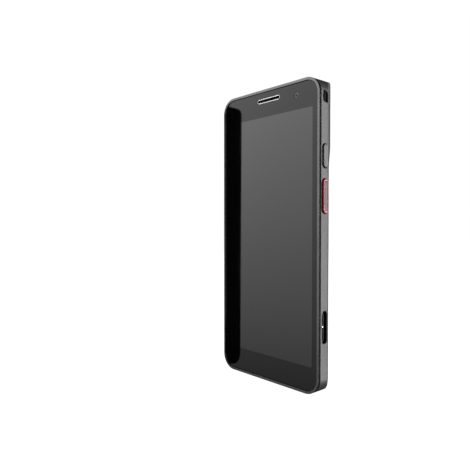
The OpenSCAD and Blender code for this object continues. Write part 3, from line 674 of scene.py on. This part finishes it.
def soften(points, rounds=2):
    """Cuts the corners of a closed outline, so that it turns smoothly."""
    for _ in range(rounds):
        n = len(points)
        points = [tuple(a * (1 - t) + b * t for a, b in zip(points[i], points[(i + 1) % n]))
                  for i in range(n) for t in (0.25, 0.75)]
    return points


def grown(points, by):
    """A closed outline (counter-clockwise) moved outwards."""
    out = []
    for i, (u, v) in enumerate(points):
        a, b = points[i - 1], points[(i + 1) % len(points)]
        normal = np.array([b[1] - a[1], a[0] - b[0]])
        normal /= np.linalg.norm(normal)
        out.append((u + by * normal[0], v + by * normal[1]))
    return out


def housing_cavities():
    """Everything inside the housing that is open to the screen side or to the battery bay."""
    cut = [
        outline_cutter("pocket", WALL, 0, CHASSIS_BACK + 0.1),
        outline_cutter("rabbet", RABBET, 0, FLANGE_BACK + 0.1),
        between("port_room", 64, 6, 2.6, BAY[0] - BULKHEAD, 1, SKIN_FRONT),
        between("board_room", 64, 6, 114.2, HEIGHT - 2.6, 1, SKIN_FRONT),
        between("bay", 2 * LEDGE_IN, 1, BAY[0], BAY[1], 1, HUMP_DEPTH),
        between("bay_mouth", 69.8, 2.2, BAY[0], BAY[1], LEDGE_BACK, HUMP_DEPTH),
    ]
    for low, high in ((WALL, BAY[0] - BULKHEAD), (BAY[0], BAY[1]), (BAY[1] + BULKHEAD, HEIGHT - WALL)):
        room = outline_cutter("room", WALL, 1, BAND_DEPTH)
        keep = box("keep", (-HALF, HALF), (-1, 30), (low, high))
        cut.append(combine(room, [keep], "INTERSECT"))
    for side in (-1, 1):
        cut.append(box("channel", tuple(sorted((side * LEDGE_IN, side * (HALF - WALL)))),
                       (CHASSIS_BACK, BAND_DEPTH), SIDE_CHANNEL))
        room = TAB_HALF + 0.4
        cut.append(box("tab", (side * TAB_X - room, side * TAB_X + room), (4.9, 7.0),
                       (BAY[0] - BULKHEAD - 0.2, BAY[0] + 1)))
    return cut


def housing_blocks():
    """Solid stretches inside the cavities: behind the strap passage, and the lanyard's ears."""
    deep = between("hump_room", 59, 3, 124, HEIGHT - 2.6, 8, HUMP_DEPTH - 1.6)
    strap = box("strap", (-10.2, 10.2), (STRAP_FLOOR - 1.3, HUMP_DEPTH - 1), (120.7, 138.7))
    deep = combine(deep, [strap])
    ear = box("ear", (HALF - 4.3, HALF - WALL + 0.1), (2, BAND_DEPTH + 0.2), (EYE[2] - 1.6, EYE[3] + 1.6))
    return deep, ear


def build_housing():
    skin = rings("rear_housing_skin", [skin_section(z) for z in skin_heights()], HOUSING)
    combine(skin, [outline_cutter("outline", 0, HOUSING_FRONT, HUMP_DEPTH + 1, 0.45)], "INTERSECT")
    combine(skin, housing_cavities())
    deep, ear = housing_blocks()
    combine(skin, [deep])
    combine(skin, [ear], "UNION")

    cut = []
    scan, power, volume = map(node_box, ("scan_button_right", "power_button", "volume_rocker"))
    for side in (-1, 1):
        cut.append(key_hole(side, SCAN, scan.z))
        cut.append(side_mouth("side_port", side, 3.6, 16.4, *SIDE_PORT, HALF - 2.5, 0.4))
    cut += [key_hole(1, POWER, power.z), key_hole(-1, VOLUME, volume.z, 0.2),
            side_mouth("left_notch", -1, 2.8, 5, 3.2, 147.4, HALF - 1.2, 0.25)]
    eye = soften(eye_outline())
    cut.append(rings("eye", [[(where, d, z) for d, z in grown(eye, -inset)]
                             for where, inset in mouth(HALF - 3.2, HALF, 0.55, steps=6)]))
    pin = node_box("lanyard_pin")
    cut.append(disc("pin_hole", "end", pin.w / 2 + 0.03, (pin.x, pin.y),
                    [(pin.z0 - 0.1, 0), (pin.z1 + 0.1, 0)], steps=32))
    for r, start in ((0.9, 3), (1.7, LEDGE_BACK - 0.7)):
        cut += [disc("screw_hole", "back", r, spot, [(start, 0), (9, 0)], steps=32) for spot in SCREWS]

    for z in STRAP_SLOTS:
        cut.append(back_mouth("strap_slot", STRAP_W, z, z + STRAP_SLOT_H, STRAP_FLOOR,
                              hump_face(z + STRAP_SLOT_H / 2)))
    cut += [
        box("strap_way", (-STRAP_W / 2, STRAP_W / 2), (STRAP_FLOOR, STRAP_FLOOR + 0.9),
            (STRAP_SLOTS[0] + 1, STRAP_SLOTS[1] + 2.2)),
        between("window", WINDOW_W, 0.6, *WINDOW, WINDOW_FLOOR, HUMP_DEPTH + 1),
        back_mouth("contact_slot", 14, 134.1, 136.9, 13.6),
        back_mouth("camera_seat", 9.4, 133.6, 154, HUMP_DEPTH - 0.9, x=16.8, corner=1.4, r=0.25),
        between("camera_hole", 6.2, 0.5, 134.6, 152, 12, HUMP_DEPTH + 1, x=15.8),
        back_mouth("label_seat", 10.5, 134.3, 153.6, HUMP_DEPTH - 0.3, x=-18, corner=1.3, r=0.15),
        back_mouth("mark_seat", 7, 141.7, 148.7, HUMP_DEPTH - 0.25, x=-0.8, corner=1, r=0.15),
    ]
    cut += [disc("mic", "back", 0.65, (x, 129.35), mouth(9, HUMP_DEPTH, 0.15), steps=32)
            for x in (-19.5, -15.8, 16.9)]
    cut.append(slab("usb_hole", "end", 9.1, 3.3, 1.64, (0, END_SOCKETS), mouth(5, 0, 0.35), steps=12))
    cut += [disc("dock_hole", "end", 1.3, (x, END_SOCKETS), mouth(5, 0, 0.25), steps=32) for x in (-12, 12)]
    cut.append(slab("speaker_slot", "back", *SPEAKER_SLOT, 1.09, (0, 6.2), mouth(7, GRIP_DEPTH, 0.3),
                    steps=10))
    cut.append(slab("scan_hole", "end", 26, 5.4, 2, (0, 10), mouth(HEIGHT - 4, HEIGHT, 0.35), steps=10))
    combine(skin, cut)
    tidy(skin)
    # Painted shade: the walls of the side holes are painted near-black.
    paint_hole_shade(skin, scan.z, power.z, volume.z)
    return stands_for(skin, "handset", "housing_plastic", "rear_housing")


def paint_hole_shade(skin, scan_z, power_z, volume_z):
    """Paints shade on the walls of the side holes: near-black painted shade from just inside their eased
    mouths.
    """
    d0, d1, z0, z1 = EYE
    holes = [(1, d0 - 0.3, d1 + 0.3, z0 - 0.3, z1 + 0.3, 0.45)]
    sizes = [(side, SCAN, scan_z) for side in (-1, 1)]
    sizes += [(1, POWER, power_z), (-1, VOLUME, volume_z)]
    sizes += [(side, (SIDE_PORT[0], 3.3, 16.4), SIDE_PORT[1]) for side in (-1, 1)]
    for side, (depth, thickness, length), z in sizes:
        reach, along = thickness / 2 + KEY_PLAY + 0.1, length / 2 + 0.3
        holes.append((side, depth - reach, depth + reach, z - along, z + along, 0.1))

    def in_hole_shade(x, y, z):
        return any(HALF - 3.5 < side * x < HALF - mouth_r and near < y < far and low < z < high
                   for side, near, far, low, high, mouth_r in holes)

    # Painted shade on the hole walls.
    paint(skin, SHADOW_BLACK, in_hole_shade)


# ---- front: rim, glass, earpiece, camera ----------------------------------------------------------


def rim_profile():
    """The bezel's section: (distance outwards from its outer edge, height in front of the glass)."""
    r = RIM_EDGE_R
    low, high = RIM_HEIGHT - RIM_LIP, RIM_HEIGHT
    turn = np.linspace(0, math.pi / 2, 5)
    web = -RIM_W + WEB_W
    out = [(web, low)] + [(-RIM_SLANT - r + r * math.sin(a), low + r - r * math.cos(a)) for a in turn]
    out += [(-r + r * math.cos(a), high - r + r * math.sin(a)) for a in turn]
    out += [(-RIM_W + r - r * math.sin(a), high - r + r * math.cos(a)) for a in turn]
    return out + [(-RIM_W, -0.85), (-4.4, -0.85), (-4.4, -FLANGE_BACK), (web, -FLANGE_BACK)]


def build_bezel():
    profile = rim_profile()
    loops = []
    for quarter, (sx, sz) in enumerate(((1, 1), (-1, 1), (-1, -1), (1, -1))):
        cx, cz = sx * (HALF - CORNER_R), HEIGHT / 2 + sz * (HEIGHT / 2 - CORNER_R)
        for k in range(25):
            a = math.pi / 2 * (quarter + k / 24)
            loops.append([(cx + (CORNER_R + u) * math.cos(a), -v, cz + (CORNER_R + u) * math.sin(a))
                          for u, v in profile])
    rim = rings("front_bezel_rim", loops, BEZEL, closed=True)
    shade(rim)
    stands_for(rim, "handset", "bezel_plastic", "front_bezel")


def split(obj, planes):
    """Cuts an object's faces along planes: (axis, millimetres)."""
    bm = bmesh.new()
    bm.from_mesh(obj.data)
    for axis, at in planes:
        normal = [float(k == axis) for k in range(3)]
        bmesh.ops.bisect_plane(bm, geom=bm.verts[:] + bm.edges[:] + bm.faces[:], dist=1e-7,
                               plane_co=[n * at * MM for n in normal], plane_no=normal)
    bm.to_mesh(obj.data)
    bm.free()


def paint(obj, material, inside):
    """Gives the faces whose middle (x, depth, z in millimetres) is inside another material."""
    obj.data.materials.append(material)
    index = len(obj.data.materials) - 1
    for face in obj.data.polygons:
        x, y, z = (c / MM for c in face.center)
        if inside(x, y - GLASS_FRONT, z):
            face.material_index = index


def build_glass():
    g = node_box("cover_glass")
    glass = slab("cover_glass_sheet", "back", g.w, g.h, CORNER_R - RIM_W - 0.1, g.spot,
                 rounded(0, g.d, 0.15), GLASS_BORDER, steps=24)
    ear = node_box("earpiece_grille")
    cam = node_box("front_camera")
    combine(glass, [
        slab("ear_hole", "back", ear.w + 0.1, ear.h + 0.1, 1.29, ear.spot,
             mouth(1, 0, 0.06), steps=12),
        disc("camera_hole", "back", CAMERA_R + 0.1, cam.spot, mouth(1, 0, 0.06)),
    ])
    tidy(glass)
    x0, x1, z0, z1 = PICTURE
    split(glass, [(0, x0), (0, x1), (2, z0), (2, z1)])
    paint(glass, GLASS_SCREEN, lambda x, y, z: y < 0.01 and x0 < x < x1 and z0 < z < z1)
    stands_for(glass, "handset", "cover_glass", "cover_glass")


def lathe(name, profile, centre, material, steps=64):
    """A turned piece about an axis along the depth, from (radius, depth) pairs, closed at r = 0."""
    loops = [[(centre[0] + u, y, centre[1] + v) for u, v in circle(r, steps)] for r, y in profile]
    closed = profile[0][0] > 0.05 and profile[-1][0] > 0.05
    return rings(name, loops, material, closed)


def build_front_camera():
    cam = node_box("front_camera")
    r = CAMERA_R
    dome = [(0.4 * math.cos(a) + 1e-3, 0.22 - 0.1 * math.sin(a)) for a in np.linspace(0, 1.5, 8)]
    profile = [(1e-3, 0.95), (r, 0.95), (r, 0.1), (r - 0.06, 0.04), (r - 0.14, 0.02),
               (r - 0.9, 0.05), (r - 1.0, 0.08), (0.5, 0.2), (0.44, 0.22)] + dome
    lens = lathe("front_camera_lens", profile, cam.spot, CAMERA_BEZEL)
    paint(lens, LENS_DARK, lambda x, y, z: y < 0.3 and math.hypot(x - cam.x, z - cam.z) < 0.42)
    module = slab("front_camera_module", "back", 6, 6, 0.6, cam.spot,
                  rounded(0.96, 2.9, 0.1, 0.1), MODULE)
    for part in (lens, module):
        finished(part, "handset", "module_black", "front_camera")


def build_earpiece():
    ear = node_box("earpiece_grille")
    r = ear.h / 2
    rim_w = 0.5
    section = [(0, 0.55), (0, 0.12), (0.04, 0.05), (0.12, 0.02), (rim_w - 0.12, 0.02),
               (rim_w - 0.04, 0.05), (rim_w, 0.12), (rim_w, 0.55)]
    around = [round_rect(ear.w - 2 * inset, ear.h - 2 * inset, r - inset - 0.01, 12)
              for inset, y in section]
    loops = [[(ear.x + outline[k][0], y, ear.z + outline[k][1])
              for outline, (inset, y) in zip(around, section)] for k in range(len(around[0]))]
    ring = rings("earpiece_ring", loops, RING, closed=True)
    finished(ring, "handset", "mesh_grey", "earpiece_grille")

    inner = rim_w + 0.01
    # The grille plate is near-black: a dark grille with painted shade of the slot on it.
    grille = slab("earpiece_grille_plate", "back", ear.w - 2 * inner, ear.h - 2 * inner,
                  r - inner - 0.01, ear.spot, rounded(0.42, 0.7, 0.05), SHADOW_BLACK, steps=12)
    pitch = 0.46
    cut = []
    for row, count in ((-1, 30), (0, 31), (1, 30)):
        cut += [disc("hole", "back", 0.16, (ear.x + pitch * (k - (count - 1) / 2), ear.z + row * 0.42),
                     [(-1, 0), (1, 0)], steps=10) for k in range(count)]
    combine(grille, cut)
    finished(grille, "handset", "mesh_grey", "earpiece_grille")


# ---- keys on the sides ----------------------------------------------------------------------------


def key(name, side, size, z, face, r, material):
    """A round-ended key out to face on a side, its outer edge rounded by r."""
    depth, thickness, length = size
    return slab(name, "side", thickness, length, thickness / 2, (depth, z),
                rounded(side * KEY_INNER, side * face, 0, r), material, steps=12)


def side_piece(name, side, x, d, h, depth, z, r=0.1, material=None):
    return slab(name, "side", d, h, 0.3, (depth, z), rounded(side * x[0], side * x[1], r, r), material)


def key_foot(side, size, z):
    """What holds a pressed key behind the wall, and what it presses its switch with."""
    return [side_piece("flange", side, (HALF - 3, HALF - 2.25), 3.8, size[2] + 2, size[0], z),
            side_piece("plunger", side, (HALF - 3.6, HALF - 2.8), 1.4, 2, 5.1, z)]


def build_scan_button(node, body, side):
    b = node_box(node)
    face = max(abs(b.x0), abs(b.x1))
    cap = key(f"{node}_cap", side, SCAN, b.z, face, 0.7, SCAN_RED)
    dish = slab("dish", "side", 2.6, 15.2, 1.29, (SCAN[0], b.z),
                mouth(side * (face - 0.35), side * face, 0.2), steps=12)
    combine(cap, [dish])
    combine(cap, key_foot(side, SCAN, b.z), "UNION")
    finished(cap, body, "scan_red", node)
    inlay = node.replace("button", "pad")
    p = node_box(inlay)
    low, top = sorted((abs(p.x0), abs(p.x1)))
    pad = slab(f"{node}_inlay", "side", p.d, p.h, p.d / 2, (p.y, p.z),
               rounded(side * low, side * top, 0, 0.15), SCAN_PAD, steps=12)
    finished(pad, body, "scan_pad_dark", inlay)


def build_power_button():
    b = node_box("power_button")
    cap = key("power_button_cap", 1, POWER, b.z, b.x1, 0.6, KEYS)
    combine(cap, key_foot(1, POWER, b.z), "UNION")
    finished(cap, "power", "key_plastic", "power_button")


def build_volume_rocker():
    b = node_box("volume_rocker")
    cap = key("volume_rocker_cap", -1, VOLUME, b.z, -b.x0, 0.35, KEYS)
    waist = slab("waist", "side", 3, 1.6, 0.8, (VOLUME[0], b.z),
                 mouth(b.x0 + 0.12, b.x0, 0.25), steps=8)
    combine(cap, [waist])
    parts = [side_piece("flange", -1, (HALF - 3.25, HALF - 2.5), 2, 16.6, VOLUME[0], b.z)]
    parts += [side_piece("plunger", -1, (HALF - 3.65, HALF - 2.8), 1.2, 2, 4.5, b.z + dz)
              for dz in (-5.1, 5.1)]
    combine(cap, parts, "UNION")
    finished(cap, "volume", "key_plastic", "volume_rocker")


def build_side_ports():
    for side, word in ((-1, "left"), (1, "right")):
        insert = slab(f"side_port_insert_{word}", "side", 3.5, 16.3, 1.74, SIDE_PORT,
                      rounded(side * (HALF - 2.9), side * (HALF - 1.5), 0, 0.25), PORT_BLACK, steps=12)
        rib = slab("rib", "side", 0.5, 12.4, 0.24, (SIDE_PORT[0] + 0.3, SIDE_PORT[1]),
                   rounded(side * (HALF - 1.6), side * (HALF - 1.1), 0, 0.12), steps=8)
        combine(insert, [rib], "UNION")
        finished(insert, "handset", "module_black", "side_port_inserts")
        contact = slab(f"side_port_contact_{word}", "side", 1, 1, 0.499, (2.9, 35),
                       rounded(side * (HALF - 1.48), side * (HALF - 0.2), 0, 0.25), NICKEL, steps=10)
        finished(contact, "handset", "contact_nickel", "side_port_pins")


def build_lanyard_pin():
    p = node_box("lanyard_pin")
    # Painted shade: the steel pin is near-black, so that the eye's opening reads dark.
    pin = disc("lanyard_pin_rod", "end", p.w / 2, (p.x, p.y), rounded(p.z0, p.z1, 0.2, 0.2), PIN_SHADE_STEEL, 64)
    finished(pin, "handset", "steel", "lanyard_pin")


# ---- back: camera, label, latch, battery ----------------------------------------------------------


def build_camera():
    c = node_box("camera_cover")
    lens, flash, ring = node_box("rear_lens"), node_box("flash_lens"), node_box("camera_lens_ring")
    cover = slab("camera_cover_plate", "back", c.w, c.h, 1.3, c.spot,
                 rounded(c.y0, c.y1, 0, 0.2), COVER, steps=10)
    step_z = 144.2
    dip = slab("dip", "back", c.w - 1.2, step_z - c.z0 - 0.6, 3.2,
               (c.x, (step_z + c.z0 + 0.6) / 2), mouth(c.y1 - 0.14, c.y1, 0.12), steps=14)
    combine(cover, [
        dip,
        disc("lens_hole", "back", 3, lens.spot, mouth(10, c.y1 - 0.14, 0.12), steps=64),
        disc("flash_hole", "back", 1.85, flash.spot, mouth(10, c.y1, 0.15), steps=64),
        slab("bar", "back", 7.4, 0.9, 0.3, (c.x, 152.7), mouth(c.y1 - 0.35, c.y1, 0.06), steps=6),
    ])
    finished(cover, "handset", "camera_cover_black", "camera_cover")

    profile = [(2.2, ring.y0), (2.9, ring.y0)]
    profile += [(2.9 - 0.22 * (1 - math.cos(a)), ring.y1 - 0.22 * (1 - math.sin(a)))
                for a in np.linspace(0, math.pi / 2, 6)]
    profile += [(2.55, ring.y1), (2.45, ring.y1 - 0.06), (2.3, ring.y1 - 0.3), (2.2, ring.y1 - 0.34)]
    bezel = lathe("camera_lens_bezel", profile, lens.spot, NICKEL)
    finished(bezel, "handset", "steel", "camera_lens_ring")

    dome = [(2.1, lens.y0), (2.1, lens.y1 - 0.22), (1.5, lens.y1 - 0.25), (1.42, lens.y1 - 0.34),
            (1.1, lens.y1 - 0.36)]
    dome += [(1.1 * math.cos(a) + 1e-3, lens.y1 - 0.36 + 0.3 * math.sin(a))
             for a in np.linspace(0.05, math.pi / 2, 9)]
    eye = lathe("rear_lens_glass", [(1e-3, lens.y0)] + dome, lens.spot, NICKEL)
    # Painted reflection: the middle of the lens is painted grey.
    paint(eye, LENS_PAINTED_REFLECTION, lambda x, y, z: y > lens.y0 + 0.05 and
          math.hypot(x - lens.x, z - lens.z) < 1.12)
    finished(eye, "handset", "lens_glass", "rear_lens")

    ridges = [(1.8, flash.y0), (1.8, flash.y1 - 0.14), (1.72, flash.y1 - 0.04)]
    for r in np.arange(1.6, 0.2, -0.2):
        ridges += [(r, flash.y1), (r - 0.14, flash.y1 - 0.07)]
    flash_lens = lathe("flash_lens_disc", [(1e-3, flash.y0)] + ridges + [(1e-3, flash.y1 - 0.03)],
                       flash.spot, FLASH)
    finished(flash_lens, "handset", "flash_white", "flash_lens")


def build_label():
    b = node_box("rear_label")
    label = slab("rear_label_sheet", "back", b.w, b.h, 1.2, b.spot,
                 rounded(b.y0, b.y1, 0, 0.06), LABEL_WHITE, steps=10)
    tidy(label)
    edge = 0.45
    split(label, [(0, b.x0 + edge), (0, b.x1 - edge), (2, b.z0 + edge), (2, LABEL_HEAD)])
    paint(label, LABEL_YELLOW, lambda x, y, z: y > b.y1 - 0.01 and b.x0 + edge < x < b.x1 - edge
          and b.z0 + edge < z < LABEL_HEAD)
    stands_for(label, "handset", "label_paper", "rear_label")


def pack_section(z, b, steps=26):
    """The battery pack's outer skin at a height, its rim rounded."""
    xs = [b.x1 - d for d in eased(1.2, 8)]
    xs += list(np.linspace(xs[-1], 0, steps))[1:-1]
    xs += [0.0] + [-x for x in reversed(xs)]
    out = [(b.x1, LEDGE_BACK + 0.2, z)]
    for x in xs:
        u = min(max(abs(x) - GRIP_FLAT, 0) / (HALF - GRIP_FLAT), 1)
        y = BAND_DEPTH + (GRIP_DEPTH - BAND_DEPTH) * math.sqrt(1 - u * u)
        inside = min(b.x1 - abs(x), z - PACK[0], PACK[1] - z)
        out.append((x, y - end_cut(inside, 0.4), z))
    out.append((b.x0, LEDGE_BACK + 0.2, z))
    return out


def build_battery_case():
    b = node_box("battery_case")
    low, high = PACK
    near = eased(0.4, 6)
    heights = [low + d for d in near] + list(np.linspace(low + 4, high - 4, 12))
    heights += [high - d for d in reversed(near)]
    case = rings("battery_case_shell", [pack_section(z, b) for z in heights], HOUSING)
    combine(case, [slab("pack_outline", "back", b.w, high - low, 2, (0, (low + high) / 2),
                        [(LEDGE_BACK + 0.2, 0), (GRIP_DEPTH + 1, 0)], steps=12)], "INTERSECT")
    parts = [between("tub", 59.8, 1, low + 1, 93, 4.3, LEDGE_BACK + 0.7),
             between("shelf", 59.8, 1, 90, 105, 6.4, LEDGE_BACK + 0.7)]
    parts += [box("tab", (s * TAB_X - TAB_HALF, s * TAB_X + TAB_HALF), (5.3, 6.6),
                  (BAY[0] - BULKHEAD + 0.2, low + 3))
              for s in (-1, 1)]
    combine(case, parts, "UNION")
    recess = slab("recess", "back", 17.4, 110 - RECESS_LOW, 0.5, (0, (110 + RECESS_LOW) / 2),
                  mouth(RECESS_FLOOR, GRIP_DEPTH, 0.25), steps=6)
    cut = [
        between("cell_room", 57.8, 1, low + 2.3, 84.5, 4.9, 9.2),
        recess,
        box("slider_room", (-8.65, 8.65), (RECESS_FLOOR, 9.4), (93.5, 97)),
        box("spring_room", (-1.1, 1.1), (6.85, 9.2), (85.95, 98.9)),
    ]
    cut += [box("pad_room", (x + 0.9, x + 2.9), (4.6, 6.2), (92.75, 94))
            for x in np.arange(12, 22, 3.2)]
    combine(case, cut)
    finished(case, "battery", "housing_plastic", "battery_case")


def build_latch():
    t = node_box("latch_thumb")
    thumb = slab("latch_thumb_piece", "back", t.w, t.h, 0.5, t.spot,
                 rounded(t.y0, t.y1, 0, 0.25), HOUSING, steps=6)
    combine(thumb, [slab("groove", "back", 13.4, 0.6, 0.29, (0.4, 102.1),
                         mouth(t.y1 - 0.55, t.y1, 0.12), steps=8)])
    finished(thumb, "latch", "housing_plastic", "latch_thumb")

    s = node_box("latch_slider")
    front, back = 8.7, 9.29
    slider = box("latch_slider_piece", (-8.4, 5), (front, back), (s.z0, 99), SLIDER)
    combine(slider, [box("wide", (-8.4, 8.4), (front, back), (98, 105.8)),
                     slab("tongue", "back", 8.2, s.z1 - 105.79, 0.4, (TONGUE_X, (s.z1 + 105.79) / 2),
                          rounded(front, s.y1, 0, 0.15), steps=6),
                     box("hook", (-0.9, 0.9), (7.1, front + 0.1), (97, 98.4))], "UNION")
    combine(slider, [slab("dish", "back", 6.4, 3.6, 0.4, (TONGUE_X, 108.4),
                          mouth(s.y1 - 0.25, s.y1, 0.1), steps=6)])
    finished(slider, "latch", "slider_grey", "latch_slider")


def build_latch_spring():
    """The latch's coil spring, drawn at rest; the real spring shortens as the latch slides down."""
    r, wire, turns, low, high, depth = SPRING
    steps = 24 * turns
    loops = []
    for i in range(steps + 1):
        a = math.tau * turns * i / steps
        z = low + wire + (high - low - 2 * wire) * i / steps
        around = [(r + u, z + v) for u, v in circle(wire, 10)]
        loops.append([(reach * math.cos(a), depth + reach * math.sin(a), height)
                      for reach, height in around])
    spring = rings("latch_spring_coil", loops, STEEL)
    finished(spring, "battery", "steel", "latch_spring")
    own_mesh(spring)


def carry_over(material, slot_nodes, edge=0.0):
    """CAD nodes that stay: they get a material, and an eased edge where one shows."""
    for name in slot_nodes:
        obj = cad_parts[name]
        obj.data.materials.clear()
        obj.data.materials.append(material)
        if edge:
            modifier = obj.modifiers.new("edge", "BEVEL")
            modifier.width = edge * MM
            modifier.segments = 2
            modifier.limit_method = "ANGLE"
            modifier.angle_limit = math.radians(40)


build_housing()
build_bezel()
build_glass()
build_earpiece()
build_front_camera()
build_scan_button("scan_button_right", "scan_right", 1)
build_scan_button("scan_button_left", "scan_left", -1)
build_power_button()
build_volume_rocker()
build_side_ports()
build_lanyard_pin()
build_camera()
build_label()
build_battery_case()
build_latch()
build_latch_spring()

# The CAD nodes that stay, with their material and the width of their eased edges.
for finish, edge, names in (
        (SEAL, 0, "bezel_gasket scan_window_seal"),
        (SCREEN_PANEL, 0, "display_panel"),
        (WHITE, 0, "backlight"),
        (CHASSIS, 0, "mid_chassis"),
        (STEEL, 0, "chassis_screws housing_screws card_socket vibration_motor"),
        (TIN, 0.08, "board_shields"),
        (MODULE, 0, "earpiece_receiver scan_engine rear_camera loudspeaker battery_connector"),
        (MODULE, 0, "microphones"),
        (PORT_BLACK, 0.05, "usb_tongue"),
        (BOARD, 0, "main_board port_board battery_guard_board"),
        (RED_GLASS, 0.15, "scan_window"),
        (INK, 0, "contactless_mark"),
        (COPPER, 0, "contactless_coil side_flex"),
        (NICKEL, 0.12, "strap_clips accessory_contacts"),
        (NICKEL, 0.05, "usb_shell"),
        (GOLD, 0.05, "battery_pads dock_contacts"),
        (MESH, 0, "speaker_mesh"),
        (FOIL, 0.3, "battery_cell"),
        (PALE, 0.1, "side_switches"),
):
    carry_over(finish, names.split(), edge)


# ---- stage, light and camera ----------------------------------------------------------------------


def unseen_by(obj, *rays):
    """Hides an object from kinds of rays."""
    for ray in rays:
        setattr(obj, "visible_" + ray, False)


def build_floor():
    """Pale floor that curves up into a backdrop far behind the object, for every view."""
    reach, curve, rise, steps = 3.0, 1.2, 2.2, 96
    profile = [(reach + curve * math.sin(a), curve * (1 - math.cos(a)))
               for a in np.linspace(0, math.pi / 2, 13)]
    profile.append((reach + curve, curve + rise))
    points = [(0, 0, 0)]
    for r, z in profile:
        points += [(x, y, z) for x, y in circle(r, steps)]
    faces = [(0, 1 + k, 1 + (k + 1) % steps) for k in range(steps)]
    for row in range(len(profile) - 1):
        a, b = 1 + row * steps, 1 + (row + 1) * steps
        faces += [(a + k, b + k, b + (k + 1) % steps, a + (k + 1) % steps) for k in range(steps)]
    floor = linked("floor", bpy.data.meshes.new("floor"))
    floor.data.from_pydata(points, [], faces)
    floor.data.shade_smooth()
    material, tree, shader = new_material("floor", (0.9, 0.9, 0.9), 0.8, specular=0.1)
    tint = blend_colours(tree, noise(tree, 3, 2), (0.89, 0.89, 0.89), (0.91, 0.91, 0.91))
    fit(tree, shader, {"Base Color": tint, "Emission Color": (1, 1, 1, 1), "Emission Strength": 1.0})
    floor.data.materials.append(material)
    unseen_by(floor, "glossy", "diffuse", "shadow")


def look_along(obj, place_m, way):
    """Puts a light or camera at a place in metres and turns it to look along a direction."""
    obj.location = place_m
    obj.rotation_mode = "QUATERNION"
    obj.rotation_quaternion = Vector(way).to_track_quat("-Z", "Y")


def area_light(name, place_m, width, height, power, *hidden_from):
    """A light panel aimed at the device's middle, its size in metres and its power in watts."""
    data = bpy.data.lights.new(name, "AREA")
    data.shape = "RECTANGLE"
    data.size, data.size_y = width, height
    data.energy = power
    light = linked(name, data)
    look_along(light, place_m, Vector((0, 0, 0.08)) - Vector(place_m))
    unseen_by(light, "camera", *hidden_from)


def arc_between(before, corner, after, r, steps=8):
    """Points that round a corner of an outline off, starting and ending r from it."""
    ends = [Vector(corner) + (Vector(p) - Vector(corner)).normalized() * r for p in (before, after)]
    out = []
    for k in range(steps + 1):
        t = k / steps
        out.append(tuple((1 - t) ** 2 * ends[0] + 2 * t * (1 - t) * Vector(corner) + t * t * ends[1]))
    return out


def reflector():
    """A card that only the gloss sees, with a round-cornered notch in its left side: bright at
    the top, dim at the bottom."""
    y = (GLASS_FRONT - 442.7) * MM
    left, right, bottom, top = -0.628, -0.273, -0.3, 0.467
    notch = [(-0.507, 0.306), (-0.511, -0.192)]
    outline = [(right, bottom), (right, top), (left, top), (left, 0.35)]
    outline += arc_between(outline[-1], notch[0], notch[1], 0.012)
    outline += arc_between(notch[0], notch[1], (left, -0.196), 0.03)
    outline += [(left, -0.196), (left, bottom)]
    points = [(x, y, z) for x, z in outline]
    card = linked("reflector", bpy.data.meshes.new("reflector"))
    card.data.from_pydata(points, [], [tuple(range(len(points)))])
    material = bpy.data.materials.new("reflector")
    material.use_nodes = True
    tree = material.node_tree
    tree.nodes.clear()
    parts = add(tree, "SeparateXYZ", {"Vector": own_place(tree)})
    rise = add(tree, "MapRange", {"Value": parts.outputs["Z"], "From Min": -0.25, "From Max": 0.36,
                                  "To Min": 0.26, "To Max": 1.78})
    glow = add(tree, "Emission", {"Strength": rise.outputs["Result"]})
    add(tree, "OutputMaterial", {"Surface": glow.outputs["Emission"]})
    card.data.materials.append(material)
    unseen_by(card, "camera", "diffuse", "shadow", "transmission")


def studio():
    world = bpy.data.worlds.new("studio")
    bpy.context.scene.world = world
    world.use_nodes = True
    tree = world.node_tree
    fit(tree, tree.nodes["Background"], {"Color": (1, 1, 1, 1), "Strength": 1.0})
    world.cycles_visibility.glossy = False
    world.cycles_visibility.diffuse = False
    area_light("soft_right", (0.95, 0.78, 0.08), 0.65, 1.3, 20.5)
    area_light("front", (-0.35, -1.1, 0.35), 0.5, 0.7, 2.5, "glossy")
    area_light("edge", (0.75, -0.75, 0.2), 0.25, 0.8, 1.1)
    area_light("fill_left", (-1.1, 0.25, 0.1), 0.5, 0.8, 3.2, "glossy")
    scene = bpy.context.scene
    scene.view_settings.view_transform = "Standard"
    scene.view_settings.look = "None"
    scene.view_settings.exposure = 0
    scene.view_settings.gamma = 1


def camera():
    data = bpy.data.cameras.new("camera")
    data.lens = 37.06
    data.sensor_width = 36
    data.shift_x = 0.0006
    data.shift_y = -0.0007
    data.clip_start = 0.01
    data.dof.use_dof = False
    cam = linked("camera", data)
    look_along(cam, (0.18693, (GLASS_FRONT - 189.3) * MM, 0.08637), (-0.74878, 0.66245, -0.02217))
    bpy.context.scene.camera = cam


build_floor()
reflector()
studio()
camera()
